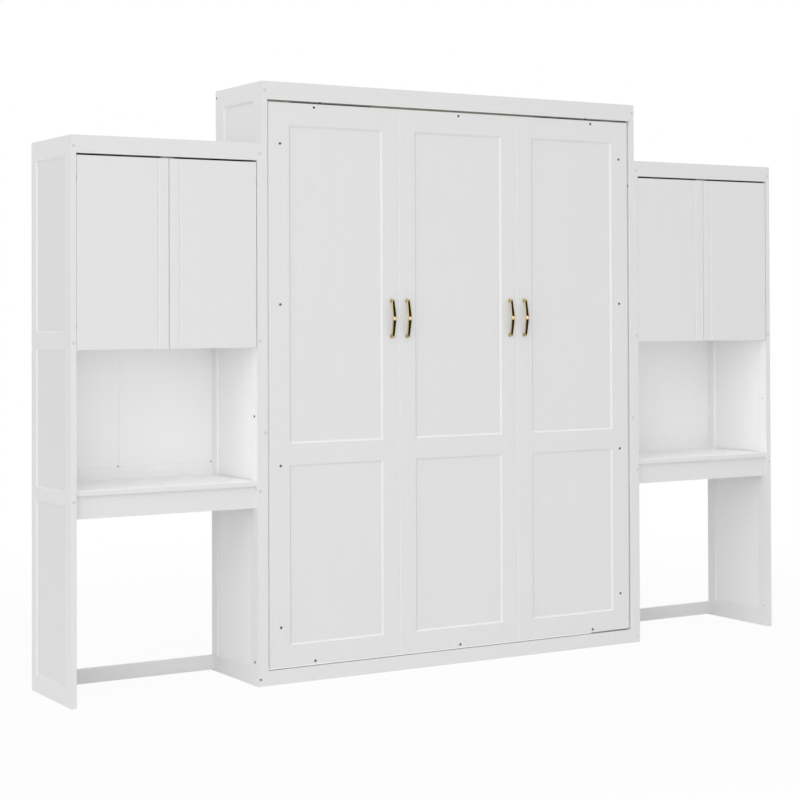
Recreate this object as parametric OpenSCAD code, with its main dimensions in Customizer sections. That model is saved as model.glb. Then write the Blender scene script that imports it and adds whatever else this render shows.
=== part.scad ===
// Wall bed in a white panelled cabinet, with an overhead cupboard and desk unit on each side.
// +X runs along the width, -Y is the front and +Z is up; the floor is at z = 0.

/* [Mattress space] */
// Width of the mattress that lies between the bed rails
mattress_w = 1524; // [1500:1:1560]
// Length of the mattress
mattress_l = 2032; // [2000:1:2060]
// Room left beside the mattress, each side
mattress_side_room = 6; // [4:1:12]
// Room left past the foot of the mattress
mattress_end_room = 34; // [20:1:50]

/* [Cabinet] */
// Depth of the cabinet and of both side units
depth = 420; // [405:1:450]
// Thickness of a cabinet side
cabinet_side_t = 22; // [20:1:26]
// Room between a bed rail and the cabinet side, for pivots and struts
mech_gap = 43; // [41:1:50]
// Width of the front stile of a cabinet side
cabinet_front_stile = 74; // [66:1:82]
// Width of the rear stile of a cabinet side
cabinet_rear_stile = 72; // [60:1:80]
// Height of the solid lower part of a cabinet side, which carries the pivot
mech_board_h = 650; // [630:1:680]
// Middle of the lower cross rail of a cabinet side
cabinet_low_rail_z = 940; // [920:1:960]
// Middle of the upper cross rail of a cabinet side
cabinet_high_rail_z = 1565; // [1540:1:1590]
// Width of a cross rail of a cabinet side
cabinet_rail_w = 70; // [60:1:80]
// Height of the fascia above the bed face
fascia_h = 68; // [60:1:80]
// Thickness of the fascias and of the bottom rail
fascia_t = 20; // [16:1:22]
// Height of the rail below the bed face
bottom_rail_h = 55; // [50:1:62]
// Thickness of the shelves, tops and desk tops
board_t = 18; // [16:1:22]
// Height of a rear wall rail
back_rail_h = 120; // [110:1:140]
// Thickness of a rear wall rail
back_rail_t = 20; // [18:1:24]
// Height of the lower wall rail above the floor
back_rail_low_z = 60; // [50:1:90]

/* [Wall fixing] */
// Distance between the two wall studs that carry the screws
wall_screw_x = 812.8; // [600:0.1:1000]
// Height between the two rows of wall screws
wall_screw_z = 60; // [50:1:70]
// Diameter of a wall screw hole
wall_hole_d = 9; // [7:0.5:10]

/* [Bed face] */
// Thickness of the bed face
face_t = 18; // [16:1:20]
// How far the bed face lies behind the cabinet's front edge
face_inset = 5; // [4:1:8]
// Gap between the bed face and each cabinet side
face_side_gap = 6; // [5:0.5:8]
// Gap above the bed face
face_top_gap = 8; // [8:0.5:9]
// Gap below the bed face
face_bottom_gap = 6; // [6:0.5:8]
// Width of the outer stiles
face_stile = 85; // [80:1:95]
// Width of each of the two middle stiles
face_mid_stile = 144; // [130:1:156]
// Height of the top rail
face_top_rail = 84; // [76:1:92]
// Height of the rail between the upper and lower panels
face_mid_rail = 79; // [70:1:90]
// Height of the bottom rail of the face
face_bottom_rail = 80; // [72:1:88]
// Height of the lower panels
face_low_panel_h = 674; // [640:1:700]
// Width of the seam grooves between the three columns
seam_w = 4; // [3:0.5:6]
// Width of the bevel along the upright edges of the bed face
face_edge_w = 8; // [5:0.5:10]
// Depth of that bevel
face_edge_d = 4; // [3:0.5:6]

/* [Panels] */
// Thickness of the panels in the sides
side_panel_t = 8; // [6:0.5:9]
// Thickness of the panels in the bed face
face_panel_t = 6; // [5:0.5:7]
// Width of the bevel around each sunk panel
bevel_w = 7; // [5:0.5:9]
// Depth of the groove that holds a panel
groove_d = 8; // [6:0.5:10]
// Play of a panel in the width of its groove
groove_play = 0.4; // [0.2:0.1:0.6]

/* [Bed frame] */
// Thickness of the rails of the bed frame
rail_t = 22; // [20:1:24]
// Depth of the rails of the bed frame
rail_d = 150; // [140:1:165]
// Distance from the face to the underside of the slats
slat_rise = 40; // [36:1:50]
// Thickness of a slat
slat_t = 18; // [16:1:20]
// Width of a slat
slat_w = 80; // [70:1:90]
// Number of slats
slat_n = 13; // [11:1:15]
// Play at each end of a slat
slat_play = 4; // [2:1:6]
// Width of the ledges under the slats
ledge_w = 20; // [18:1:30]
// Height of the ledges
ledge_h = 30; // [24:1:34]
// Width of the middle beam
beam_w = 60; // [50:1:80]

/* [Pivot and struts] */
// Height of the bed pivot above the floor
pivot_z = 340; // [335:1:350]
// Distance from the front of the bed face to the pivot
pivot_back = 60; // [58:1:66]
// Diameter of the pivot pin
pivot_d = 20; // [16:1:22]
// Play on the radius of the pins in their bores
pin_play = 0.05; // [0.02:0.01:0.08]
// Distance of both strut ends from the pivot
strut_r = 240; // [232:1:244]
// Angle between the two strut ends when the bed is up
strut_angle = 160; // [156:1:162]
// Diameter of a strut cylinder
strut_d = 22; // [20:1:24]
// Diameter of a strut rod
strut_rod_d = 10; // [8:1:11]
// Diameter of the studs that hold the struts
stud_d = 10; // [8:1:10]
// Thickness of the steel plates
plate_t = 4; // [3:0.5:5]

/* [Foot legs] */
// Width of a foot leg
leg_w = 40; // [36:1:44]
// Thickness of a foot leg
leg_t = 5; // [4:0.5:5]
// Distance from the back of the bed face to the middle of a leg
leg_back = 21; // [21:1:26]
// Distance from a side rail to a leg bolt
leg_inset = 68; // [50:1:100]
// Diameter of a leg bolt
leg_bolt_d = 10; // [8:1:12]

/* [Handles] */
// Distance between the feet of a handle
handle_span = 138; // [128:1:160]
// Distance from the bed face to the outside of a handle
handle_reach = 34; // [30:1:40]
// Diameter of a handle's arms and posts
handle_arm_d = 8; // [7:0.5:9]
// Diameter of the ball where an arm meets its post
handle_elbow_d = 11; // [10:0.5:12]
// Diameter of a handle foot
handle_foot_d = 16; // [14:1:20]
// Distance from the column seam to a handle
handle_off = 34; // [28:1:40]
// Height of the middle of the handles
handle_z = 1361; // [1300:1:1420]

/* [Side units] */
// Width of a side unit
unit_w = 736; // [700:1:780]
// Height of a side unit
unit_h = 2016; // [2000:1:2040]
// Thickness of a side unit's sides
unit_side_t = 20; // [18:1:22]
// Width of the front stile of a side
unit_front_stile = 60; // [56:1:70]
// Width of the rear stile of a side
unit_rear_stile = 48; // [44:1:60]
// Height of the bottom rail of a side
unit_bottom_rail = 63; // [56:1:72]
// Height of the top rail of a side
unit_top_rail = 70; // [64:1:78]
// Top of the rail at desk height
unit_desk_rail_z = 750; // [746:1:752]
// Height of the rail at desk height
unit_desk_rail_h = 47; // [44:1:60]
// Bottom of the rail at the cupboard floor
unit_floor_rail_z = 1256; // [1252:1:1257]
// Height of the rail at the cupboard floor
unit_floor_rail_h = 61; // [56:1:68]
// Height of the fascia above the doors
unit_fascia_h = 64; // [60:1:70]
// Height of the desk surface above the floor
desk_z = 760; // [754:1:766]
// How far the desk top lies behind the front edge
desk_set = 8; // [6:1:12]
// Height of the apron below the desk top
apron_h = 82; // [74:1:90]
// How far the apron lies behind the front edge
apron_set = 20; // [16:1:26]
// Height of the rear floor stretcher
stretcher_h = 55; // [48:1:60]
// Room below the stretcher
stretcher_z = 5; // [3:1:8]
// Thickness of the back board
back_t = 6; // [4:1:8]

/* [Doors] */
// Underside of the doors above the floor
door_z = 1257; // [1250:1:1257]
// Thickness of a door
door_t = 18; // [17:0.5:19]
// How far a door lies behind the front edge
door_set = 1; // [0.5:0.5:1.5]
// Gap between two doors
door_gap = 3; // [2:0.5:4]
// Gap between a door and the side that it hangs on
door_side_gap = 1.5; // [1.5:0.5:2]
// Gap above the doors
door_top_gap = 7; // [5:1:8]
// Distance from the meeting edge to the groove in a door
door_groove_off = 42; // [36:1:50]
// Width of the groove in a door
door_groove_w = 6; // [4:1:8]
// Distance from the end of a door to its hinge
hinge_end = 80; // [60:1:120]
// Distance of a hinge pin from the side's face
hinge_x = 6.9; // [6.8:0.1:7]
// Distance of a hinge pin behind the front edge
hinge_y = 7; // [7:0.1:7.2]
// Diameter of a hinge pin
hinge_pin_d = 4; // [3.5:0.1:4]

/* [Fasteners] */
// Diameter of a face bolt's head
bolt_head_d = 10; // [9:0.5:11]
// Diameter of a face bolt's shank
bolt_d = 6; // [5:0.5:7]
// Diameter of a cover cap
cap_d = 12; // [10:0.5:13]

/* [Hidden] */
$fn = 36;
paint = [0.93, 0.93, 0.92];
wood = [0.86, 0.77, 0.62];
zinc = [0.72, 0.73, 0.74];
dark = [0.16, 0.14, 0.13];
brass = [0.78, 0.60, 0.24];
pale = [0.80, 0.80, 0.78];
over = 1;

// Widths and heights that follow from the mattress
rail_in = mattress_w / 2 + mattress_side_room;
rail_out = rail_in + rail_t;
inner_x = rail_out + mech_gap;
cabinet_x = inner_x + cabinet_side_t;
box_inset = 1;
face_x = inner_x - face_side_gap;
face_low = bottom_rail_h + face_bottom_gap;
box_low = face_low + box_inset;
head_in = box_low + rail_t;
foot_in = head_in + mattress_l + mattress_end_room;
box_top = foot_in + rail_t;
face_high = box_top + 2 * box_inset;
fascia_z = face_high + face_top_gap;
cabinet_h = fascia_z + fascia_h;

// Places from front to back
front = (handle_reach - face_inset - depth) / 2;
back = front + depth;
face_y = front + face_inset;
frame_y = face_y + face_t;
slat_y = frame_y + slat_rise;
pivot_y = face_y + pivot_back;
leg_y = frame_y + leg_back;
leg_x = rail_in - leg_inset;
face_h = face_high - face_low;
panel_col_w = (2 * face_x - 2 * face_stile - 2 * face_mid_stile) / 3;
seam_x = (panel_col_w + face_mid_stile) / 2;

// Strut ends: both lie on one circle about the pivot, so a strut turns half as far as the bed
strut_x = inner_x - mech_gap / 2;
strut_top_angle = strut_angle - 90;
strut_top_y = pivot_y + strut_r * cos(strut_top_angle);
strut_top_z = pivot_z + strut_r * sin(strut_top_angle);
strut_low_z = pivot_z - strut_r;
strut_long = 2 * strut_r * sin(strut_angle / 2);
strut_short = 2 * strut_r * sin((strut_angle - 90) / 2);
strut_lean = atan2(strut_top_y - pivot_y, strut_top_z - strut_low_z);
eye_d = 20;
eye_w = 14;
tube_start = eye_d / 2 + 4;
tube_wall = 2.5;
chamber_start = tube_start + 4;
rod_l = strut_short - chamber_start - 2;
piston_t = 8;
piston_play = 0.1;
gland_start = strut_long - rod_l + piston_t + 2;
tube_end = gland_start + 14;

// Side units
unit_x0 = cabinet_x;
unit_x1 = cabinet_x + unit_w;
unit_in0 = unit_x0 + unit_side_t;
unit_in1 = unit_x1 - unit_side_t;
unit_mid = (unit_x0 + unit_x1) / 2;
unit_inner_w = unit_in1 - unit_in0;
unit_fascia_z = unit_h - unit_fascia_h;
door_h = unit_fascia_z - door_top_gap - door_z;
door_w = (unit_inner_w - door_gap) / 2 - door_side_gap;
floor_z = door_z + 2;
door_edge_r = 4;
door_back_r = 3;
notch_front = 1.5;
notch_side = 4.5;
notch_h = 16;
knuckle_d = 6.4;
knuckle_h = 14;
hinge_pin_l = 7;

// Trim
caps_y = front;
cap_t = 0.8;
bolt_grip = 40;
bolt_head_t = 3;
hex_d = 5;
hex_deep = 2;
bolt_play = 0.2;
link_y = 28;
link_high = 1000;
link_low = 88;
link_blind = 4;
bolt_low = box_low + 148;
bolt_rows = 4;
bolt_step = (box_top - 153 - bolt_low) / (bolt_rows - 1);
bolt_end_x = rail_in - 131;

// A box between two opposite corners
module box(low, high) {
  translate(low) cube(high - low);
}

// A round bar along X
module bar_x(d, x0, x1, y, z) {
  translate([x0, y, z]) rotate([0, 90, 0]) cylinder(d = d, h = x1 - x0);
}

// A round bar along Y
module bar_y(d, x, y0, y1, z) {
  translate([x, y0, z]) rotate([-90, 0, 0]) cylinder(d = d, h = y1 - y0);
}

// A round bar along Z
module bar_z(d, x, y, z0, z1) {
  translate([x, y, z0]) cylinder(d = d, h = z1 - z0);
}

// The same piece on the left, where side is -1, or on the right
module on_side(side) {
  mirror([side < 0 ? 1 : 0, 0, 0]) children();
}

// A bar whose corner cuts a V groove w wide, standing along Z
module v_groove(w, l) {
  rotate([0, 0, 45]) cube([w / sqrt(2), w / sqrt(2), l], center = true);
}

// A sunk field: its edge slopes in from w by h at the face to the panel, deep below it
module bevelled_field(w, h, deep) {
  lip = bevel_w / deep * over;
  intersection() {
    translate([0, h + lip, 0])
      rotate([90, 0, 0])
        linear_extrude(h + 2 * lip)
          polygon([[-lip, deep + over], [w + lip, deep + over], [w - bevel_w, 0], [bevel_w, 0]]);
    translate([-lip, 0, 0])
      rotate([90, 0, 90])
        linear_extrude(w + 2 * lip)
          polygon([[-lip, deep + over], [h + lip, deep + over], [h - bevel_w, 0], [bevel_w, 0]]);
  }
}

// The cut for one panel in a frame t thick: a bevel on both faces and a groove between them
module panel_cut(w, h, t, panel_t) {
  slot = panel_t + groove_play;
  deep = (t - slot) / 2;
  translate([0, 0, t - deep]) bevelled_field(w, h, deep);
  translate([0, 0, deep]) mirror([0, 0, 1]) bevelled_field(w, h, deep);
  reach = bevel_w - groove_d;
  translate([reach, reach, deep]) cube([w - 2 * reach, h - 2 * reach, slot]);
}

// The panel that fills such a cut, standing in its groove
module panel_fill(w, h, t, panel_t) {
  reach = bevel_w - groove_d + groove_play;
  translate([reach, reach, (t - panel_t) / 2])
    cube([w - 2 * reach, h - 2 * reach, panel_t]);
}

// Turns a flat drawing of a side, depth by height, to stand at x
module stand_side(x) {
  translate([x, front, 0]) rotate([90, 0, 90]) children();
}

// Turns a flat drawing of the bed face, width by height, to stand with its front at face_y
module stand_face() {
  translate([-face_x, frame_y, face_low]) rotate([90, 0, 0]) children();
}

// Panel fields of a cabinet side, each as [from front, from floor, width, height]
cabinet_field_w = depth - cabinet_front_stile - cabinet_rear_stile;
cabinet_low_rail = cabinet_low_rail_z - cabinet_rail_w / 2;
cabinet_high_rail = cabinet_high_rail_z - cabinet_rail_w / 2;
cabinet_fields = [
  [cabinet_front_stile, mech_board_h, cabinet_field_w, cabinet_low_rail - mech_board_h],
  [cabinet_front_stile, cabinet_low_rail + cabinet_rail_w, cabinet_field_w,
    cabinet_high_rail - cabinet_low_rail - cabinet_rail_w],
  [cabinet_front_stile, cabinet_high_rail + cabinet_rail_w, cabinet_field_w,
    cabinet_h - fascia_h - cabinet_high_rail - cabinet_rail_w]];

// Panel fields of a side unit's side
unit_field_w = depth - unit_front_stile - unit_rear_stile;
unit_desk_rail_low = unit_desk_rail_z - unit_desk_rail_h;
unit_floor_rail_high = unit_floor_rail_z + unit_floor_rail_h;
unit_fields = [
  [unit_front_stile, unit_bottom_rail, unit_field_w, unit_desk_rail_low - unit_bottom_rail],
  [unit_front_stile, unit_desk_rail_z, unit_field_w, unit_floor_rail_z - unit_desk_rail_z],
  [unit_front_stile, unit_floor_rail_high, unit_field_w,
    unit_h - unit_top_rail - unit_floor_rail_high]];

// Panel fields of the bed face, each as [from its side, from its foot, width, height]
face_col_step = panel_col_w + face_mid_stile;
face_high_field_z = face_bottom_rail + face_low_panel_h + face_mid_rail;
face_fields = [for (col = [0 : 2]) for (row = [0 : 1])
  [face_stile + col * face_col_step, row == 0 ? face_bottom_rail : face_high_field_z,
    panel_col_w, row == 0 ? face_low_panel_h : face_h - face_top_rail - face_high_field_z]];

// Places of the face bolts
bolt_x = (rail_in + rail_out) / 2;
bolt_side_z = [for (i = [0 : bolt_rows - 1]) bolt_low + i * bolt_step];
bolt_head_z = (box_low + head_in) / 2;
bolt_foot_z = (foot_in + box_top) / 2;

module all_face_bolts() {
  for (z = bolt_side_z) for (s = [-1, 1]) translate([s * bolt_x, face_y, z]) children();
  for (z = [bolt_head_z, bolt_foot_z]) for (x = [-bolt_end_x, 0, bolt_end_x])
    translate([x, face_y, z]) children();
}

// The hole for one face bolt, with its head's seat
module face_bolt_hole() {
  rotate([-90, 0, 0]) cylinder(d = bolt_d + 2 * bolt_play, h = bolt_grip + over);
  translate([0, -over, 0])
    rotate([-90, 0, 0])
      cylinder(d = bolt_head_d + 2 * bolt_play, h = bolt_head_t + over);
}

// Bolts that join each side to what stands beside it
module all_link_bolts(x) {
  for (z = [link_low, link_high]) translate([x, front + link_y, z]) children();
}

// A cabinet side: a glued frame with three sunk fields over a solid board
module cabinet_side(side) {
  color(paint) difference() {
    on_side(side) difference() {
      stand_side(inner_x) cube([depth, cabinet_h, cabinet_side_t]);
      stand_side(inner_x) for (f = cabinet_fields) translate([f[0], f[1], 0])
        panel_cut(f[2], f[3], cabinet_side_t, side_panel_t);
    }
    on_side(side) all_link_bolts(0)
      bar_x(bolt_d + 2 * bolt_play, inner_x - over, cabinet_x + over, 0, 0);
  }
}
module cabinet_side_left() { cabinet_side(-1); }
module cabinet_side_right() { cabinet_side(1); }

// Panels in both cabinet sides
module cabinet_side_panels() {
  color(paint) for (s = [-1, 1]) on_side(s) stand_side(inner_x)
    for (f = cabinet_fields) translate([f[0], f[1], 0])
      panel_fill(f[2], f[3], cabinet_side_t, side_panel_t);
}

module cabinet_top_board() {
  color(paint) box([-inner_x, front + fascia_t, cabinet_h - board_t], [inner_x, back, cabinet_h]);
}

module cabinet_fascia() {
  color(paint) box([-inner_x, front, fascia_z], [inner_x, front + fascia_t, cabinet_h]);
}

module cabinet_bottom_rail() {
  color(paint) box([-inner_x, front, 0], [inner_x, front + fascia_t, bottom_rail_h]);
}

// Wall rails at the top and near the floor; the upper one is drilled for the wall screws
rail_top_z = cabinet_h - board_t;
wall_screw_mid = rail_top_z - back_rail_h / 2;
module cabinet_back_rails() {
  color(paint) difference() {
    box([-inner_x, back - back_rail_t, rail_top_z - back_rail_h], [inner_x, back, rail_top_z]);
    for (x = [-1, 1]) for (z = [-1, 1])
      bar_y(wall_hole_d, x * wall_screw_x / 2, back - back_rail_t - over, back + over,
        wall_screw_mid + z * wall_screw_z / 2);
  }
  color(paint) box([-inner_x, back - back_rail_t, back_rail_low_z],
    [inner_x, back, back_rail_low_z + back_rail_h]);
}

// Cleats that the face's outer stiles close against, above the pivots
cleat_w = inner_x - rail_out - 8;
cleat_d = 20;
cleat_play = 0.3;
cleat_low = mech_board_h + 10;
cleat_high = box_top - 20;
module stop_cleats() {
  color(paint) for (s = [-1, 1]) on_side(s)
    box([inner_x - cleat_w, frame_y + cleat_play, cleat_low],
      [inner_x, frame_y + cleat_play + cleat_d, cleat_high]);
}

// A steel plate on the cabinet side, with the pivot pin and the upper strut stud
plate_edge = 32;
stud_cap_d = 14;
stud_cap_t = 2;
stud_in = strut_x - eye_w / 2 - 0.5;
stud_out = strut_x + eye_w / 2 + 0.5;
hub_d = 34;
hub_l = 18;
module pivot_plate(side) {
  color(zinc) on_side(side) {
    box([inner_x - plate_t, pivot_y - plate_edge, pivot_z - plate_edge],
      [inner_x, strut_top_y + plate_edge, strut_top_z + plate_edge]);
    bar_x(pivot_d, rail_out + 1, inner_x - plate_t, pivot_y, pivot_z);
    bar_x(stud_d, stud_in, inner_x - plate_t, strut_top_y, strut_top_z);
    bar_x(stud_cap_d, stud_in - stud_cap_t, stud_in, strut_top_y, strut_top_z);
  }
}
module pivot_plate_left() { pivot_plate(-1); }
module pivot_plate_right() { pivot_plate(1); }

// A double magnet catch under the top board, over the doors' meeting edges
catch_w = 46;
catch_d = 18;
catch_h = unit_h - board_t - unit_fascia_z + door_top_gap + 8;
module magnet_catches() {
  color(pale) for (s = [-1, 1]) on_side(s)
    box([unit_mid - catch_w / 2, front + board_t + 1.5, unit_h - board_t - catch_h],
      [unit_mid + catch_w / 2, front + board_t + 1.5 + catch_d, unit_h - board_t]);
}

// Round caps over the bolts in the front edges
cap_drop = 4;
module cover_caps() {
  color(pale) for (s = [-1, 1]) on_side(s) {
    for (x = [unit_x0 + unit_side_t / 2, unit_x1 - unit_side_t / 2])
      for (z = [unit_desk_rail_z - unit_desk_rail_h / 2 - cap_drop,
          unit_floor_rail_z + unit_floor_rail_h / 2 - cap_drop,
          unit_h - unit_top_rail / 2 - cap_drop])
        bar_y(cap_d, x, caps_y - cap_t, caps_y, z);
    for (z = [cabinet_low_rail_z, cabinet_h - fascia_h / 2])
      bar_y(cap_d, inner_x + cabinet_side_t / 2, caps_y - cap_t, caps_y, z);
  }
}

// Bolts through the sides: short ones in the outer sides, long ones into the cabinet
module link_bolt(x_head, x_end) {
  way = x_end > x_head ? 1 : -1;
  difference() {
    union() {
      if (way > 0) {
        bar_x(bolt_head_d, x_head - cap_t, x_head, 0, 0);
        bar_x(bolt_d, x_head, x_end, 0, 0);
      } else {
        bar_x(bolt_head_d, x_head, x_head + cap_t, 0, 0);
        bar_x(bolt_d, x_end, x_head, 0, 0);
      }
    }
    translate([x_head - way * cap_t, 0, 0]) rotate([0, 90, 0])
      cylinder(d = hex_d, h = 2 * hex_deep, center = true, $fn = 6);
  }
}
edge_bolt_z = 26;
edge_bolt_d = 8;
module link_bolts() {
  color(dark) for (s = [-1, 1]) on_side(s) {
    bar_y(edge_bolt_d, unit_x0 + unit_side_t / 2, front - cap_t, front, edge_bolt_z);
    bar_x(edge_bolt_d, cabinet_x, cabinet_x + cap_t, back - back_rail_t / 2, cabinet_h - board_t - 10);

    all_link_bolts(0) link_bolt(unit_in0, inner_x + link_blind);
    all_link_bolts(0) link_bolt(unit_in1, unit_x1 - link_blind - 1);
  }
}

// Places a door piece drawn from the side's face at x = 0 and the front edge at y = 0
module at_door(x_face, way) {
  translate([x_face, front, door_z]) mirror([way < 0 ? 1 : 0, 0, 0]) children();
}
hinge_heights = [hinge_end, door_h - hinge_end];

// A hinge arm: a plate on the side, a link behind the door and a pin that the door turns on
arm_y = door_t + door_set + 1;
arm_plate_l = 36;
arm_t = 2.5;
web_w = 3;
module hinge_arm() {
  box([0, arm_y, -knuckle_h], [arm_t, arm_y + arm_plate_l, knuckle_h]);
  box([0, arm_y, -knuckle_h / 2], [hinge_x + web_w / 2, arm_y + web_w, knuckle_h / 2]);
  box([hinge_x - web_w / 2, hinge_y, -knuckle_h / 2],
    [hinge_x + web_w / 2, arm_y + web_w, knuckle_h / 2]);
  bar_z(knuckle_d, hinge_x, hinge_y, -knuckle_h / 2, knuckle_h / 2);
  bar_z(hinge_pin_d, hinge_x, hinge_y, -knuckle_h / 2 - hinge_pin_l,
    knuckle_h / 2 + hinge_pin_l);
}
module door_hinge_arms() {
  color(zinc) for (s = [-1, 1]) on_side(s) for (z = hinge_heights) {
    at_door(unit_in0, 1) translate([0, 0, z]) hinge_arm();
    at_door(unit_in1, -1) translate([0, 0, z]) hinge_arm();
  }
}

// A door: a slab with a rounded hinge edge, one groove, and notches for its hinge arms
module door_leaf() {
  far = door_side_gap + door_w;
  groove = far + door_gap / 2 - door_groove_off;
  difference() {
    linear_extrude(door_h) difference() {
      union() {
        translate([door_side_gap + door_edge_r, door_set]) square([door_w - door_edge_r, door_t]);
        translate([door_side_gap, door_set + door_edge_r])
          square([2 * door_edge_r, door_t - door_edge_r - door_back_r]);
        translate([door_side_gap + door_edge_r, door_set + door_edge_r]) circle(r = door_edge_r);
        translate([door_side_gap + door_back_r, door_set + door_t - door_back_r])
          circle(r = door_back_r);
      }
      translate([groove, door_set]) rotate(45)
        square(door_groove_w / sqrt(2), center = true);
    }
    for (z = hinge_heights) {
      box([0, door_set + notch_front, z - notch_h / 2],
        [hinge_x + notch_side, door_t + door_set + over, z + notch_h / 2]);
      bar_z(hinge_pin_d + 2 * pin_play, hinge_x, hinge_y, z - notch_h / 2 - hinge_pin_l,
        z + notch_h / 2 + hinge_pin_l);
    }
  }
}
module left_door_outer() { color(paint) at_door(-unit_in1, 1) door_leaf(); }
module left_door_inner() { color(paint) at_door(-unit_in0, -1) door_leaf(); }
module right_door_inner() { color(paint) at_door(unit_in0, 1) door_leaf(); }
module right_door_outer() { color(paint) at_door(unit_in1, -1) door_leaf(); }

// A side of a side unit: a glued frame with three sunk fields, drilled for bolts
module unit_side(side, x, drill_end) {
  color(paint) on_side(side) difference() {
    stand_side(x) difference() {
      cube([depth, unit_h, unit_side_t]);
      for (f = unit_fields) translate([f[0], f[1], 0])
        panel_cut(f[2], f[3], unit_side_t, side_panel_t);
    }
    all_link_bolts(x) bar_x(bolt_d + 2 * bolt_play, -over, drill_end, 0, 0);
  }
}
module left_side_outer() { unit_side(-1, unit_in1, unit_side_t - link_blind); }
module left_side_inner() { unit_side(-1, unit_x0, unit_side_t + over); }
module right_side_outer() { unit_side(1, unit_in1, unit_side_t - link_blind); }
module right_side_inner() { unit_side(1, unit_x0, unit_side_t + over); }

// Panels in both sides of one side unit
module unit_side_panels(side) {
  color(paint) on_side(side) for (x = [unit_x0, unit_in1]) stand_side(x)
    for (f = unit_fields) translate([f[0], f[1], 0])
      panel_fill(f[2], f[3], unit_side_t, side_panel_t);
}
module left_side_panels() { unit_side_panels(-1); }
module right_side_panels() { unit_side_panels(1); }

module unit_top_board(side) {
  color(paint) on_side(side)
    box([unit_in0, front + board_t, unit_h - board_t], [unit_in1, back, unit_h]);
}
module left_top_board() { unit_top_board(-1); }
module right_top_board() { unit_top_board(1); }

module unit_fascia(side) {
  color(paint) on_side(side)
    box([unit_in0, front, unit_fascia_z], [unit_in1, front + board_t, unit_h]);
}
module left_fascia() { unit_fascia(-1); }
module right_fascia() { unit_fascia(1); }

// The cupboard floor lies behind the doors
floor_set = door_set + door_t + 1;
module unit_cupboard_floor(side) {
  color(paint) on_side(side) difference() {
    box([unit_in0, front + floor_set, floor_z], [unit_in1, back - back_t, floor_z + board_t]);
  }
}
module left_cupboard_floor() { unit_cupboard_floor(-1); }
module right_cupboard_floor() { unit_cupboard_floor(1); }

// The back board runs from under the desk to the top; a joint line crosses it above the desk,
// and the left one has an upright joint line as well
back_low = desk_z - board_t - 60;
back_strip_h = 46;
back_joint_off = 33;
back_joint_w = 4;
back_line_w = 2;
module unit_back_board(side) {
  strip_z = desk_z + back_strip_h;
  color(paint) difference() {
    on_side(side) box([unit_in0, back - back_t, back_low], [unit_in1, back, unit_h - board_t]);
    translate([side * unit_mid, back - back_t, strip_z]) rotate([0, 90, 0])
      v_groove(back_line_w, unit_w);
    if (side < 0) translate([-unit_mid - back_joint_off, back - back_t, strip_z + unit_h / 2])
      v_groove(back_joint_w, unit_h);
  }
}
module left_back_board() { unit_back_board(-1); }
module right_back_board() { unit_back_board(1); }

module unit_desk_top(side) {
  color(paint) on_side(side)
    box([unit_in0, front + desk_set, desk_z - board_t], [unit_in1, back - back_t, desk_z]);
}
module left_desk_top() { unit_desk_top(-1); }
module right_desk_top() { unit_desk_top(1); }

module unit_desk_apron(side) {
  color(paint) on_side(side)
    box([unit_in0, front + apron_set, desk_z - board_t - apron_h],
      [unit_in1, front + apron_set + board_t, desk_z - board_t]);
}
module left_desk_apron() { unit_desk_apron(-1); }
module right_desk_apron() { unit_desk_apron(1); }

module unit_stretcher(side) {
  color(paint) on_side(side)
    box([unit_in0, back - board_t, stretcher_z], [unit_in1, back, stretcher_z + stretcher_h]);
}
module left_stretcher() { unit_stretcher(-1); }
module right_stretcher() { unit_stretcher(1); }

// The bed face: a glued frame of three columns of sunk fields, with a seam between columns
// and a bevel along each upright edge
module bed_face_frame() {
  color(paint) difference() {
    stand_face() difference() {
      cube([2 * face_x, face_h, face_t]);
      for (f = face_fields) translate([f[0], f[1], 0]) panel_cut(f[2], f[3], face_t, face_panel_t);
      for (s = [-1, 1]) translate([face_x + s * seam_x, face_h / 2, face_t]) rotate([90, 0, 0])
        v_groove(seam_w, face_h + 2 * over);
      for (s = [-1, 1]) translate([face_x + s * face_x, face_h + over, face_t]) rotate([90, 0, 0])
        linear_extrude(face_h + 2 * over)
          polygon([[-s * face_edge_w, 0], [s * face_edge_w, -2 * face_edge_d],
            [s * face_edge_w, over], [-s * face_edge_w, over]]);
    }
    all_face_bolts() face_bolt_hole();
  }
}

module bed_face_panels() {
  color(paint) stand_face() for (f = face_fields) translate([f[0], f[1], 0])
    panel_fill(f[2], f[3], face_t, face_panel_t);
}

// Long rails of the bed frame
module bed_side_rail(side) {
  color(paint) difference() {
    on_side(side) box([rail_in, frame_y, box_low], [rail_out, frame_y + rail_d, box_top]);
    all_face_bolts() face_bolt_hole();
  }
}
module bed_side_rail_left() { bed_side_rail(-1); }
module bed_side_rail_right() { bed_side_rail(1); }

// Short rails at the foot and head of the bed frame
leg_pin_d = leg_bolt_d;
module bed_foot_rail() {
  color(paint) difference() {
    box([-rail_in, frame_y, foot_in], [rail_in, frame_y + rail_d, box_top]);
    all_face_bolts() face_bolt_hole();
    for (s = [-1, 1]) bar_z(leg_pin_d + 2 * bolt_play, s * leg_x, leg_y, foot_in - over,
      box_top + over);
  }
}
module bed_head_rail() {
  color(paint) difference() {
    box([-rail_in, frame_y, box_low], [rail_in, frame_y + rail_d, head_in]);
    all_face_bolts() face_bolt_hole();
  }
}

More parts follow.
